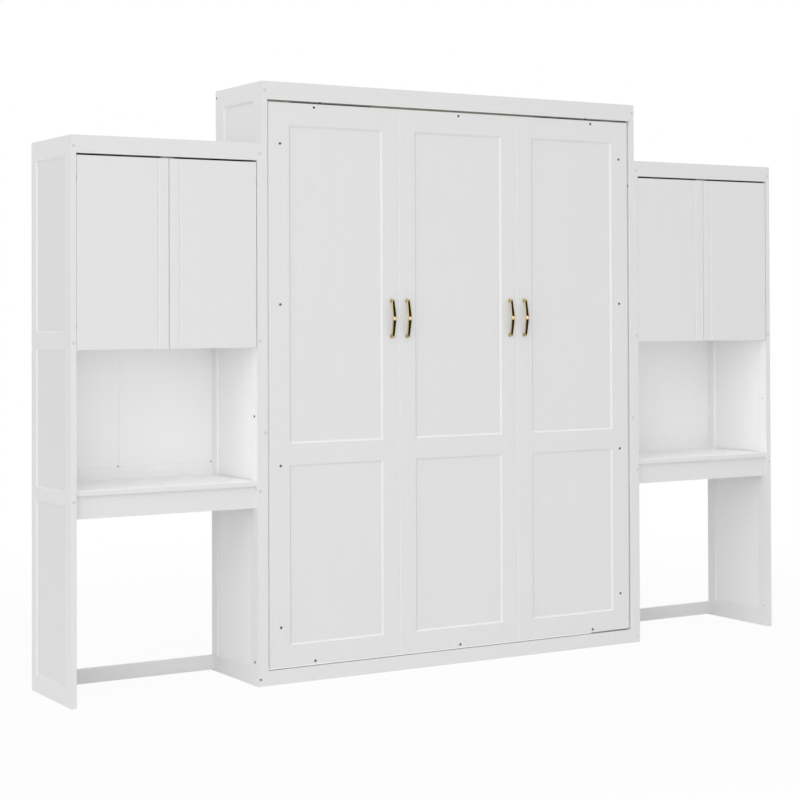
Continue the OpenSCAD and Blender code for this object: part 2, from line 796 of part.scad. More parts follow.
// Middle beam, ledges and slats that carry the mattress
module bed_centre_beam() {
  color(wood) box([-beam_w / 2, frame_y, head_in], [beam_w / 2, slat_y, foot_in]);
}
module slat_ledges() {
  color(wood) for (s = [-1, 1]) on_side(s)
    box([rail_in - ledge_w, slat_y - ledge_h, head_in], [rail_in, slat_y, foot_in]);
}
slat_edge = 20;
slat_step = (foot_in - head_in - slat_w - 2 * slat_edge) / (slat_n - 1);
module bed_slats() {
  color(wood) for (i = [0 : slat_n - 1]) translate([0, 0, head_in + slat_edge + i * slat_step])
    box([slat_play - rail_in, slat_y, 0], [rail_in - slat_play, slat_y + slat_t, slat_w]);
}

// Bolts that hold the face to the bed frame
module face_bolt() {
  rotate([-90, 0, 0]) difference() {
    union() {
      cylinder(d = bolt_head_d, h = bolt_head_t);
      cylinder(d = bolt_d, h = bolt_grip);
    }
    translate([0, 0, -over]) cylinder(d = hex_d, h = hex_deep + over, $fn = 6);
  }
}
module face_bolts() {
  color(dark) all_face_bolts() face_bolt();
}

// A steel bracket on the bed rail: the hub that turns on the pivot pin, and the lower strut stud
bracket_edge = 24;
module bed_bracket(side) {
  color(zinc) on_side(side) difference() {
    union() {
      box([rail_out, pivot_y - plate_edge, strut_low_z - bracket_edge],
        [rail_out + plate_t, pivot_y + plate_edge, pivot_z + plate_edge]);
      bar_x(hub_d, rail_out, rail_out + hub_l, pivot_y, pivot_z);
      bar_x(stud_d, rail_out + plate_t, stud_out, pivot_y, strut_low_z);
      bar_x(stud_cap_d, stud_out, stud_out + stud_cap_t, pivot_y, strut_low_z);
    }
    bar_x(pivot_d + 2 * pin_play, rail_out - over, rail_out + hub_l + over, pivot_y, pivot_z);
  }
}
module bed_bracket_left() { bed_bracket(-1); }
module bed_bracket_right() { bed_bracket(1); }

// A gas strut's eye, on the X axis
module strut_eye() {
  bar_x(eye_d, -eye_w / 2, eye_w / 2, 0, 0);
}
module strut_eye_bore() {
  bar_x(stud_d + 2 * pin_play, -eye_w / 2 - over, eye_w / 2 + over, 0, 0);
}

// A strut cylinder, hung on the cabinet's stud and pointing down at the bed's stud
module strut_cylinder(side) {
  color(dark) on_side(side) translate([strut_x, strut_top_y, strut_top_z])
    rotate([-strut_lean, 0, 0]) difference() {
      union() {
        strut_eye();
        bar_z(strut_rod_d, 0, 0, -tube_start - over, -eye_d / 4);
        bar_z(strut_d, 0, 0, -tube_end, -tube_start);
      }
      strut_eye_bore();
      bar_z(strut_d - 2 * tube_wall, 0, 0, -gland_start, -chamber_start);
      bar_z(strut_rod_d + 2 * piston_play, 0, 0, -tube_end - over, -gland_start + over);
    }
}
module strut_cylinder_left() { strut_cylinder(-1); }
module strut_cylinder_right() { strut_cylinder(1); }

// A strut rod, held by the bed's stud, with its piston inside the cylinder
module strut_rod(side) {
  color(zinc) on_side(side) translate([strut_x, pivot_y, strut_low_z])
    rotate([-strut_lean, 0, 0]) difference() {
      union() {
        strut_eye();
        bar_z(strut_rod_d, 0, 0, eye_d / 4, rod_l);
        bar_z(strut_d - 2 * tube_wall - 2 * piston_play, 0, 0, rod_l - piston_t, rod_l);
      }
      strut_eye_bore();
    }
}
module strut_rod_left() { strut_rod(-1); }
module strut_rod_right() { strut_rod(1); }

// Foot legs: flat steel straps that lie on the foot rail and swing out to stand on the floor
leg_gap = (face_top_gap - leg_t) / 3;
leg_low = face_high + leg_gap;
leg_l = pivot_z + leg_y - pivot_y;
leg_head_d = 2 * leg_bolt_d;
leg_head_t = 2;
module foot_leg(side) {
  color(dark) on_side(side) difference() {
    union() {
      box([leg_x - leg_l, leg_y - leg_w / 2, leg_low], [leg_x, leg_y + leg_w / 2, leg_low + leg_t]);
      bar_z(leg_w, leg_x, leg_y, leg_low, leg_low + leg_t);
    }
    bar_z(leg_pin_d + 2 * pin_play, leg_x, leg_y, leg_low - over, leg_low + leg_t + over);
    bar_z(leg_head_d + 2 * pin_play, leg_x, leg_y, leg_low + leg_t - leg_head_t - pin_play,
      leg_low + leg_t + over);
  }
}
module foot_leg_left() { foot_leg(-1); }
module foot_leg_right() { foot_leg(1); }

// Leg bolts with a washer under the leg and a nut below the foot rail
nut_t = 8;
module leg_bolts() {
  color(zinc) for (s = [-1, 1]) on_side(s) {
    bar_z(leg_pin_d, leg_x, leg_y, foot_in - nut_t, leg_low + leg_t);
    bar_z(leg_head_d, leg_x, leg_y, leg_low + leg_t - leg_head_t, leg_low + leg_t);
    bar_z(leg_head_d, leg_x, leg_y, box_top, leg_low - pin_play);
    translate([leg_x, leg_y, foot_in - nut_t]) cylinder(d = 2 * leg_bolt_d, h = nut_t, $fn = 6);
  }
}

// A bow handle: two posts, and two straight arms that meet in a bead
foot_l = handle_reach / 2 - 4;
bead_d = 14;
module pull_handle() {
  bow_y = handle_reach - bead_d / 2;
  rise = bow_y - foot_l;
  half = handle_span / 2;
  arm_l = sqrt(half * half + rise * rise);
  for (s = [-1, 1]) {
    bar_y(handle_foot_d, 0, -3, 0, s * half);
    bar_y(handle_arm_d, 0, -foot_l, -1, s * half);
    translate([0, -foot_l, s * half]) sphere(d = handle_elbow_d);
    translate([0, -foot_l, s * half]) rotate([-s * atan2(rise, half), 0, 0])
      translate([0, 0, s > 0 ? -arm_l : 0]) cylinder(d = handle_arm_d, h = arm_l);
  }
  translate([0, -bow_y, 0]) sphere(d = bead_d);
}
module pull_handles(side) {
  color(brass) for (s = [-1, 1])
    translate([side * seam_x + s * handle_off, face_y, handle_z]) pull_handle();
}
module pull_handles_left() { pull_handles(-1); }
module pull_handles_right() { pull_handles(1); }

cabinet_side_left();
cabinet_side_right();
cabinet_side_panels();
cabinet_top_board();
cabinet_fascia();
cabinet_bottom_rail();
cabinet_back_rails();
stop_cleats();
pivot_plate_left();
pivot_plate_right();
magnet_catches();
cover_caps();
link_bolts();
door_hinge_arms();
left_side_outer();
left_side_inner();
left_side_panels();
left_top_board();
left_fascia();
left_cupboard_floor();
left_back_board();
left_desk_top();
left_desk_apron();
left_stretcher();
right_side_outer();
right_side_inner();
right_side_panels();
right_top_board();
right_fascia();
right_cupboard_floor();
right_back_board();
right_desk_top();
right_desk_apron();
right_stretcher();
left_door_outer();
left_door_inner();
right_door_inner();
right_door_outer();
bed_face_frame();
bed_face_panels();
bed_side_rail_left();
bed_side_rail_right();
bed_foot_rail();
bed_head_rail();
bed_centre_beam();
slat_ledges();
bed_slats();
face_bolts();
bed_bracket_left();
bed_bracket_right();
leg_bolts();
pull_handles_left();
pull_handles_right();
strut_cylinder_left();
strut_cylinder_right();
strut_rod_left();
strut_rod_right();
foot_leg_left();
foot_leg_right();
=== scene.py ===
"""Dresses the wall bed with its paint, wood, metal and small parts, and sets its stage."""
import math
from functools import partial, reduce

import bmesh
import bpy
from mathutils import Matrix, Vector


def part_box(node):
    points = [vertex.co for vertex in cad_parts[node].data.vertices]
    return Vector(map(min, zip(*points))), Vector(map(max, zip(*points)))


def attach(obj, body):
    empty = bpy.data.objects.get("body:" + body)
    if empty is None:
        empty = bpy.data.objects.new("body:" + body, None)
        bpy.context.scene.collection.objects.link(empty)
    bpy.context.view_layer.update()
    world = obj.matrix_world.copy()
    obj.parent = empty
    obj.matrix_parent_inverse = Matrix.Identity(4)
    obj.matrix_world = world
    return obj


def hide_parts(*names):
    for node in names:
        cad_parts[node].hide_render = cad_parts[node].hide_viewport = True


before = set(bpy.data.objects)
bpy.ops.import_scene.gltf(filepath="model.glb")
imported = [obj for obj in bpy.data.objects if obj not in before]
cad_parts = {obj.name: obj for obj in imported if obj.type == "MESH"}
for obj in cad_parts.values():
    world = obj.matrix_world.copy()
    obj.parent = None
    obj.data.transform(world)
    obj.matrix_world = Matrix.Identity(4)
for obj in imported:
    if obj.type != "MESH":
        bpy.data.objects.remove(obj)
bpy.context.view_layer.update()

bl_info = {
    "name": "Wall Bed Dresser",
    "version": (1, 0, 0),
    "blender": (4, 5, 0),
    "location": "View3D > Sidebar > Wall Bed",
    "description": "Finishes and small parts for a wall bed with two desk units",
    "category": "Object",
}

# ---------------------------------------------------------------- places read from the frame
# All lengths are in metres. A box is a node's lowest and highest corner.

SIDES = (("left", -1), ("right", 1))
CABINET_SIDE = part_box("cabinet_side_right")
UNIT_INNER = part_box("right_side_inner")
UNIT_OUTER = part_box("right_side_outer")
DOOR_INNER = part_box("right_door_inner")
DOOR_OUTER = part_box("right_door_outer")
FRONT = CABINET_SIDE[0].y
BACK = CABINET_SIDE[1].y

# Where the grain turns: between these places it follows the rails, not the stiles.
COLUMN_RAILS = ((-1.0, 0.1993), (0.3433, 0.742))
CABINET_RAILS = ((FRONT + 0.074, BACK - 0.072),)
UNIT_RAILS = ((FRONT + 0.060, BACK - 0.048),)
JOINT = 0.0003
SEAM = (COLUMN_RAILS[0][1] + COLUMN_RAILS[1][0]) / 2
SEAM_REACH = 0.003

# The nook between desk top and cupboard, with a hair to spare.
NOOK_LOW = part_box("right_desk_top")[1].z - 0.0005
NOOK_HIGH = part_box("right_cupboard_floor")[0].z + 0.0005
NOOK_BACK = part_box("right_back_board")[0].y + 0.003
NOOK_MIDDLE = (UNIT_OUTER[0].x + UNIT_INNER[1].x) / 2
PANEL_RECESS = 0.0064

# The painted light starts behind the front edges and fades out at FADE_END, FADE_RATE a metre.
BEHIND_EDGE = FRONT + 0.0015
FADE_END = FRONT + 0.034
FADE_RATE = 50.0
SKIN = 0.0004
DOORS_MEET = DOOR_INNER[1].x + 0.0015

# How far a slope has to face up, forward or to the left to get a painted highlight, and the seams'
# share of it.
FACES_UP, FACES_OUT, FACES_LEFT = 0.3, -0.2, -0.3
SEAM_HIGHLIGHT_SHARE = 0.35

# ---------------------------------------------------------------- small parts

# A profile lists (radius, height) pairs. A screw or bolt is named by the radius of its head.

SLATS, SLAT_WIDTH = 13, 0.080
SLAT_SCREW, SLAT_SCREW_SUNK = 0.0042, 0.0001
SLAT_SCREW_INSET, SLAT_SCREW_LIFT = 0.006, 0.022

# The handles: from the node's side to a handle's middle line, the height of the posts, the arms'
# steps, bow and ends, an arm's outline in shares of its half width and half thickness, and the
# bead and its collars in shares of the bead's radius.
HANDLE_EDGE, HANDLE_STAND = 0.008, 0.013
ARM_STEPS, ARM_BOW, ARM_OVER_POST = 16, 0.22, 0.0034
ARM_END_SHARE, ARM_END_LENGTH = 0.72, 0.0014
ARM_SHAPE = (
    ((-0.8, -1.0), (0.8, -1.0), (1.0, -0.5), (1.0, 0.5))
    + ((0.8, 1.0), (-0.8, 1.0), (-1.0, 0.5), (-1.0, -0.5))
)
BEAD_FLAT, BEAD_STEPS = 0.80, 12
COLLAR = ((0.72, 0.52), (0.84, 0.62), (0.84, 0.76), (0.72, 0.86))

# The left unit's back board has two screws, at these places across and up.
BACK_SCREWS = ((-1.2595, 0.8066), (-0.8806, 0.8088))
BACK_SCREW, BACK_SCREW_SUNK = 0.0030, 0.0002
INNER_BOLT_Y, INNER_BOLT_Z = -0.1775, 1.911
INNER_BOLT = {"radius": 0.0065, "height": 0.0024, "hex_radius": 0.0030, "depth": 0.0016}
BUFFER_X, BUFFER_INSET = 0.6120, 0.0055
BUFFER = ((0.0042, -0.0005), (0.0042, 0.0026), (0.0036, 0.0034), (0.0, 0.0036))

# The caps' dome in shares of their radius and height, and how high they sit on each board.
CAP_RADIUS, CAP_PROUD = 0.006, 0.0008
CAP_DOME = ((1.0, 0.0), (1.0, 0.45), (0.92, 0.80), (0.60, 0.97), (0.0, 1.0))
CAP_HEIGHTS = (
    (UNIT_INNER, (0.7225, 1.2825, 1.977)),
    (UNIT_OUTER, (0.7225, 1.2825, 1.977)),
    (CABINET_SIDE, (0.940, 2.216)),
)
PLATE_THICK, PLATE_SCREW = 0.004, 0.0052
PLATE_INSET_Y, PLATE_INSET_Z, PLATE_MIDDLE_UP = 0.012, 0.014, 0.03

# A strut's rings: distance from the upper end, length and radius of each.
STRUT_END = 0.010
STRUT_RINGS = ((0.014, 0.005, 0.0114), (0.226, 0.004, 0.0113), (0.233, 0.0065, 0.0113))
RING_EDGE_IN, RING_EDGE_ALONG = 0.0007, 0.0006

# Magnets in the catches, from the catch's lowest corner, and rubber pads on the stop strips.
MAGNET_OFFSET, MAGNET_HALF, MAGNET_EDGE = 0.012, 0.006, 0.0006
MAGNET_DEEP, MAGNET_HIGH = (-0.0004, 0.004), (0.002, 0.0075)
PAD_INSET, PAD_LIFT = 0.021, 0.040
PAD = ((0.007, -0.001), (0.007, 0.0001), (0.006, 0.0002), (0.0, 0.00022))

# Widths of the softened edges of the fittings.
PLATE_EDGE, CYLINDER_EDGE, THIN_EDGE, CATCH_EDGE = 0.0006, 0.0005, 0.0003, 0.0015

# ---------------------------------------------------------------- stage

WHITE = (1.0, 1.0, 1.0)
FLOOR_TONE = (0.86, 0.86, 0.86)
FLOOR_RINGS, FLOOR_STEPS = (0.0, 2.0, 4.0, 8.0, 16.0, 60.0), 96
FLOOR_DROP = 0.0005
SHADOW_REACH = 2.2

# A lamp's aim is the way that its light goes.
KEY_SIZE = 2.4
KEY_AIM, KEY_PLACE = (3.0, 5.0, -0.2), (-3.0, -5.0, 1.3)
NOOK_LAMP_GAP, NOOK_LAMP_BEHIND = 0.01, 0.004
NOOK_AIM = (0.0, 1.0, 0.0)
FILL_PLACE, FILL_SPREAD = (0.0, 0.0, 4.0), math.radians(60.0)
FILLS = (
    ("front_left", "front", (0.48, 0.88, -0.06)),
    ("left", "left", (0.90, 0.43, -0.05)),
    ("top", "top", (0.30, 0.55, -0.78)),
    ("back_right", "back", (-0.75, -0.62, -0.20)),
)

# The camera, with its focal length and the point that it looks at in pixels of the picture.
SENSOR = 36.0
PICTURE = 800.0
FOCAL = 1931.03
LOOKS_AT = (520.0, 283.85)
CAMERA_PLACE = (-3.93536, -6.55128 + FRONT, 1.38898)
YAW, PITCH, ROLL = 0.57218, 0.01391, -0.00428
NEAREST, FARTHEST = 0.1, 200.0

# ---------------------------------------------------------------- settings


def colour(name, description, default):
    return bpy.props.FloatVectorProperty(
        name=name, description=description, default=default, subtype="COLOR", min=0.0, max=1.0
    )


def length(name, description, default):
    return bpy.props.FloatProperty(
        name=name, description=description, default=default, min=0.0, unit="LENGTH", precision=4
    )


def amount(name, description, default, top=1.0):
    return bpy.props.FloatProperty(
        name=name, description=description, default=default, min=0.0, max=top
    )


class WALLBED_PG_paint(bpy.types.PropertyGroup):
    """White paint over wood."""

    tone: colour("Paint", "Colour of the white paint", (0.80, 0.80, 0.80))
    # Painted light: this lighter tone stands in for the light that falls round the nooks and in the
    # gaps.
    painted_light_tone: colour("Painted light", "Colour of the paint round the nooks", (0.96, 0.96, 0.96))
    grain: amount("Grain", "How far the grain shows in the paint's colour", 0.027)
    relief: amount("Relief", "How far the grain stands out of the paint", 0.17)
    gloss: amount("Roughness", "Roughness of the satin paint", 0.42)
    edge: length("Edge", "Width of the softened edges", 0.0012)


class WALLBED_PG_wood(bpy.types.PropertyGroup):
    """Bare wood of the bed base."""

    pale: colour("Early wood", "Colour of the pale wood", (0.74, 0.60, 0.42))
    deep: colour("Late wood", "Colour of the darker lines", (0.56, 0.41, 0.25))
    edge: length("Edge", "Width of the softened edges", 0.0025)


class WALLBED_PG_metal(bpy.types.PropertyGroup):
    """Metal, plastic and rubber fittings."""

    brass: colour("Brass", "Colour of the handles' beads", (0.74, 0.60, 0.36))
    # Painted shade: the handles' feet, posts and arm sides take this darker copy of the brass.
    shaded_brass: colour("Brass in painted shade", "Colour of the handles' feet and posts", (0.48, 0.385, 0.205))
    # Painted reflection: the arms' fronts take this dark colour in place of a dark reflection in
    # the brass.
    bronze: colour("Dark bronze", "Colour of the inlay on the handles' arms", (0.031, 0.019, 0.004))
    zinc: colour("Zinc", "Colour of the plated steel", (0.62, 0.63, 0.65))
    black: colour("Black steel", "Colour of the painted steel", (0.022, 0.021, 0.020))
    bolt: colour("Bolt", "Colour of the bolt heads", (0.15, 0.12, 0.10))
    cap: colour("Cap", "Colour of the cover caps", (0.66, 0.66, 0.655))
    catch: colour("Catch", "Colour of the door catches", (0.62, 0.62, 0.60))
    rubber: colour("Rubber", "Colour of the pads and buffers", (0.035, 0.034, 0.033))


class WALLBED_PG_handle(bpy.types.PropertyGroup):
    """Bow handle."""

    foot: length("Foot", "Radius of a foot", 0.0079)
    post: length("Post", "Radius of a post", 0.0058)
    end: length("Arm end", "Half width of an arm at its foot", 0.0055)
    middle: length("Arm middle", "Half width of an arm at the bead", 0.0077)
    bead: length("Bead", "Radius of the bead", 0.0079)
    thick: length("Arm thickness", "Half thickness of an arm", 0.0024)


class WALLBED_PG_stage(bpy.types.PropertyGroup):
    """Light and floor."""

    sky: amount("Sky", "Strength of the light from all sides", 0.595, 5.0)
    key: amount("Key", "Power of the large lamp at the front left, in watts", 34.0, 900.0)
    nook: amount("Nook fill", "Power of the soft lamp before each nook, in watts", 0.27, 20.0)
    front: amount("Front fill", "Strength of the level light from the front left", 0.05, 20.0)
    left: amount("Left fill", "Strength of the level light from the left", 0.95, 20.0)
    top: amount("Top fill", "Strength of the light from above at the front left", 0.50, 20.0)
    back: amount("Back fill", "Strength of the light from behind at the right", 0.6, 20.0)
    floor_keep: amount("Floor", "How white the floor stays under the object", 0.93)


# ---------------------------------------------------------------- shader maths


class Wire:
    """A shader value that Python arithmetic can work on."""

    def __init__(self, board, socket):
        self.board = board
        self.socket = socket

    def _math(self, operation, *values):
        settings = {"operation": operation}
        return self.board.node("ShaderNodeMath", settings, dict(enumerate(values)))

    def __add__(self, other):
        return self._math("ADD", self, other)

    __radd__ = __add__

    def __sub__(self, other):
        return self._math("SUBTRACT", self, other)

    def __rsub__(self, other):
        return self._math("SUBTRACT", other, self)

    def __mul__(self, other):
        return self._math("MULTIPLY", self, other)

    __rmul__ = __mul__

    def __truediv__(self, other):
        return self._math("DIVIDE", self, other)

    def __rtruediv__(self, other):
        return self._math("DIVIDE", other, self)

    def __gt__(self, other):
        return self._math("GREATER_THAN", self, other)

    def __lt__(self, other):
        return self._math("LESS_THAN", self, other)

    def __abs__(self):
        return self._math("ABSOLUTE", self)

    def either(self, other):
        return self._math("MAXIMUM", self, other)

    def wave(self):
        return self._math("SINE", self)

    def held(self):
        """The value, kept between 0 and 1."""
        return self.board.node("ShaderNodeClamp", {}, {"Value": self})


class Board:
    """A node tree under construction, for a material or the world."""

    def __init__(self, tree):
        self.tree = tree
        tree.nodes.clear()

    def _socket(self, sockets, key):
        if isinstance(key, int):
            return sockets[key]
        for socket in sockets:
            if socket.identifier == key:
                return socket
        return sockets[key]

    def node(self, kind, settings, sockets, output=0):
        """Adds a node: its settings first, then the values or links of its sockets."""
        made = self.tree.nodes.new(kind)
        for key, value in settings.items():
            if key == "stops":
                while len(made.color_ramp.elements) < len(value):
                    made.color_ramp.elements.new(0.5)
                for element, (place, tint) in zip(made.color_ramp.elements, value):
                    element.position = place
                    element.color = (*tint, 1.0)
            else:
                setattr(made, key, value)
        for key, value in sockets.items():
            self.feed(self._socket(made.inputs, key), value)
        return Wire(self, self._socket(made.outputs, output)) if made.outputs else None

    def feed(self, socket, value):
        if isinstance(value, Wire):
            self.tree.links.new(value.socket, socket)
        elif socket.type == "RGBA":
            socket.default_value = (*value, 1.0)
        else:
            socket.default_value = value

    def seen(self):
        """1 where the eye, a mirror or glass looks, and 0 for soft light."""
        looks = ("Is Camera Ray", "Is Glossy Ray", "Is Transmission Ray")
        return any_of([self.node("ShaderNodeLightPath", {}, {}, look) for look in looks])

    def mix_shaders(self, mask, low, high):
        return self.node("ShaderNodeMixShader", {}, {0: mask, 1: low, 2: high})


class Finish(Board):
    """A material under construction."""

    def __init__(self, name):
        self.material = bpy.data.materials.new(name)
        self.material.use_nodes = True
        super().__init__(self.material.node_tree)

    def place(self, output="Object"):
        """The point on the piece in its own frame, or, for Normal, the way its surface faces."""
        return self.node("ShaderNodeTexCoord", {}, {}, output)

    def axes(self, output="Object"):
        """The three parts of what place gives."""
        point = self.place(output)
        return [self.node("ShaderNodeSeparateXYZ", {}, {0: point}, axis) for axis in range(3)]

    def stretched(self, point, factors):
        return self.node("ShaderNodeVectorMath", {"operation": "MULTIPLY"}, {0: point, 1: factors})

    def noise(self, point, scale, detail=2.0, rough=0.5, warp=0.0):
        values = {"Scale": scale, "Detail": detail, "Roughness": rough, "Distortion": warp}
        return self.node("ShaderNodeTexNoise", {}, {"Vector": point, **values}, "Fac")

    def mix(self, mask, low, high, kind="RGBA", word="Color"):
        sockets = {"Factor_Float": mask, f"A_{word}": low, f"B_{word}": high}
        return self.node("ShaderNodeMix", {"data_type": kind}, sockets, f"Result_{word}")

    def bump(self, height, strength, distance):
        values = {"Strength": strength, "Distance": distance}
        return self.node("ShaderNodeBump", {}, {"Height": height, **values}, "Normal")

    def surface(self, **inputs):
        """Adds the surface shader, with the spaces of its inputs' names as underscores."""
        names = {key: key.replace("_", " ").title().replace("Ior", "IOR") for key in inputs}
        values = {names[key]: value for key, value in inputs.items()}
        return self.node("ShaderNodeBsdfPrincipled", {}, values)

    def show(self, shader):
        """Ends the material with its shader, and gives the material back."""
        self.node("ShaderNodeOutputMaterial", {}, {"Surface": shader})
        return self.material


def any_of(masks):
    """1 where one of the masks is 1."""
    return reduce(Wire.either, masks)


def blended(*parts):
    """The sum of the values, each times its share, kept between 0 and 1."""
    return reduce(Wire.__add__, [value * share for value, share in parts]).held()


def scaled(tint, factor):
    return tuple(min(1.0, part * factor) for part in tint)


# ---------------------------------------------------------------- masks


def at_front(deep):
    """1 just behind the front edges, fading to 0 deeper in, and 0 on the front edges themselves."""
    return ((FADE_END - deep) * FADE_RATE).held() * (deep > BEHIND_EDGE)


def nook_painted_light(below, finish):
    """Painted light: 1 on the faces round a nook, fading in beside the doors, and below under the
    desk top.
    """
    across, deep, up = finish.axes()
    inner = abs(across) > UNIT_INNER[1].x - PANEL_RECESS
    outer = abs(across) < UNIT_OUTER[0].x + PANEL_RECESS
    height = ((up > NOOK_LOW) * (1.0 - below) + below) * (up < NOOK_HIGH) * (deep > BEHIND_EDGE)
    beside_doors = at_front(deep) * (up > NOOK_HIGH)
    return inner * outer * height.either(beside_doors) * (deep < NOOK_BACK)


def painted_light_beside_face(finish):
    """Painted light in the gaps beside the bed's face: 1 at the front of the cabinet sides' inner
    faces, and 0 elsewhere.
    """
    across, deep, _ = finish.axes()
    return (abs(across) < CABINET_SIDE[0].x + SKIN) * at_front(deep)


def painted_light_between_doors(finish):
    """Painted light in the gap between a unit's doors: 1 on the edges where the two doors meet, and
    0 elsewhere.
    """
    across = abs(finish.axes()[0])
    return (across > DOOR_INNER[1].x - SKIN) * (across < DOOR_OUTER[0].x + SKIN)


def painted_highlight_on_slopes(finish):
    """Painted highlight: 1 on the slope at the foot of each panel, less on one slope of each seam,
    and 0 elsewhere.
    """
    across, deep, up = finish.axes("Normal")
    foot = (up > FACES_UP) * (deep < FACES_OUT)
    seam = abs(abs(finish.axes()[0]) - SEAM) < SEAM_REACH
    return foot.either(seam * (across < FACES_LEFT) * SEAM_HIGHLIGHT_SHARE)


def rail_masks(finish, axis, rails):
    """The rails, which lie between the given places along an axis, and the joint lines there."""
    spot = finish.axes()[axis]
    if axis == 0:
        spot = abs(spot)
    boards = [(spot > low) * (spot < high) for low, high in rails]
    joints = [abs(spot - place) < JOINT for rail in rails for place in rail]
    return any_of(boards), any_of(joints)


# ---------------------------------------------------------------- finishes

# The grain's noise is drawn out along the board: this share of its scale is left that way.
DRAWN = 0.035
ALONG = {"x": (DRAWN, 1.0, 1.0), "y": (1.0, DRAWN, 1.0), "z": (1.0, 1.0, DRAWN)}

# The painted grain: where its dark lines begin, how steep they are, how far the rest lightens,
# and how dark and deep the joint lines are.
GRAIN_FROM, GRAIN_STEEP, GRAIN_LIFT = 0.36, 2.6, 0.55
JOINT_SHARE, JOINT_SHADE, JOINT_DEPTH = 0.35, 0.72, 0.5

# Scale per metre, detail, roughness and distortion of each noise.
STREAKS = (210.0, 3.0, 0.62, 0.15)
BROAD_STREAKS = (22.0, 2.0, 0.5, 0.3)
PORES = (760.0, 1.0)
PAINT_CLOUDS = (1.7,)
WOOD_BANDS = (16.0, 3.0, 0.55, 0.9)
WOOD_LINES = (190.0, 2.0, 0.6, 0.1)
WOOD_RINGS = 46.0
METAL_CLOUDS = (60.0, 3.0, 0.6)
GRIT = (1400.0, 2.0, 0.6)
PLASTIC_CLOUDS = (35.0,)


def painted_wood(name, way, shade=1.0, rails=None, light=1.0, painted_light_mask=None):
    """White paint with faint grain along the board, and along the rails where they are given.

    The faces that the given mask function picks get the lighter tone, painted light where more
    light is to fall. The numbers shade and light darken the two tones.
    """
    paint = bpy.context.scene.wallbed_paint
    tone, depth = scaled(paint.tone, shade), paint.grain
    finish = Finish(name)
    point = finish.place()
    run = finish.stretched(point, ALONG[way])
    joints = None
    if rails:
        rail_way, axis, places = rails
        boards, joints = rail_masks(finish, axis, places)
        rail_run = finish.stretched(point, ALONG[rail_way])
        run = finish.mix(boards, run, rail_run, "VECTOR", "Vector")
    streak = finish.noise(run, *STREAKS)
    broad = finish.noise(run, *BROAD_STREAKS)
    pore = finish.noise(run, *PORES)
    cloud = finish.noise(point, *PAINT_CLOUDS)
    height = blended((streak, 0.55), (pore, 0.30), (broad, 0.15))
    shadow = ((height - GRAIN_FROM) * GRAIN_STEEP).held()
    shift = blended((shadow, 0.75), (cloud, 0.25))
    tint = finish.mix(shift, scaled(tone, 1.0 - depth), scaled(tone, 1.0 + depth * GRAIN_LIFT))
    # Painted light: the faces that the mask picks take the lighter tone.
    if painted_light_mask:
        painted_light_tone = scaled(paint.painted_light_tone, light)
        bright = finish.mix(shift, scaled(painted_light_tone, 1.0 - depth), painted_light_tone)
        tint = finish.mix(painted_light_mask(finish), tint, bright)
    if joints:
        tint = finish.mix(joints * JOINT_SHARE, tint, scaled(tone, JOINT_SHADE))
        height = height - joints * JOINT_DEPTH
    surface = finish.surface(
        base_color=tint,
        roughness=paint.gloss + 0.10 * streak,
        normal=finish.bump(height, paint.relief, 0.0004),
        specular_ior_level=0.42,
    )
    return finish.show(surface)


def bare_wood(name, way):
    """Clear-lacquered pine with long grain lines."""
    wood = bpy.context.scene.wallbed_wood
    finish = Finish(name)
    run = finish.stretched(finish.place(), ALONG[way])
    lines = finish.noise(run, *WOOD_LINES)
    rings = (finish.noise(run, *WOOD_BANDS) * WOOD_RINGS).wave() * 0.5 + 0.5
    mask = blended((rings, 0.62), (lines, 0.38))
    stops = [(0.0, wood.deep), (0.45, scaled(wood.pale, 0.92)), (1.0, scaled(wood.pale, 1.12))]
    surface = finish.surface(
        base_color=finish.node("ShaderNodeValToRGB", {"stops": stops}, {"Fac": mask}, "Color"),
        roughness=0.52 + 0.16 * lines,
        normal=finish.bump(mask, 0.25, 0.0005),
        specular_ior_level=0.4,
    )
    return finish.show(surface)


def brushed(name, tone, rough, scale, way, metallic=1.0, coat=0.0, covered=None):
    """Metal with fine marks along one way, under pale covers at the far right where named."""
    metal = bpy.context.scene.wallbed_metal
    finish = Finish(name)
    point = finish.place()
    marks = finish.noise(finish.stretched(point, ALONG[way]), scale)
    cloud = finish.noise(point, *METAL_CLOUDS)
    worn = blended((marks, 0.5), (cloud, 0.5))
    base = getattr(metal, tone)
    tint = finish.mix(worn, scaled(base, 0.88), scaled(base, 1.08))
    if covered:
        cover = finish.axes()[0] > CABINET_SIDE[1].x
        tint = finish.mix(cover, tint, getattr(metal, covered))
        metallic = (1 - cover) * metallic
    surface = finish.surface(
        base_color=tint,
        metallic=metallic,
        roughness=rough + 0.16 * cloud,
        normal=finish.bump(marks, 0.06, 0.0002),
        coat_weight=coat,
        coat_roughness=0.1,
    )
    return finish.show(surface)


def moulded(name, tone, rough):
    """Fine-grained plastic or rubber."""
    finish = Finish(name)
    point = finish.place()
    grit = finish.noise(point, *GRIT)
    cloud = finish.noise(point, *PLASTIC_CLOUDS)
    base = getattr(bpy.context.scene.wallbed_metal, tone)
    surface = finish.surface(
        base_color=finish.mix(cloud, scaled(base, 0.93), scaled(base, 1.05)),
        roughness=rough + 0.12 * grit,
        normal=finish.bump(grit, 0.12, 0.0001),
    )
    return finish.show(surface)


# Of the painted light in a nook, a side board and its panel keep this much under the desk top.
painted_light_in_nook = partial(nook_painted_light, 0.0)
painted_light_on_unit_side = partial(nook_painted_light, 0.15)
painted_light_on_side_panel = partial(nook_painted_light, 0.75)
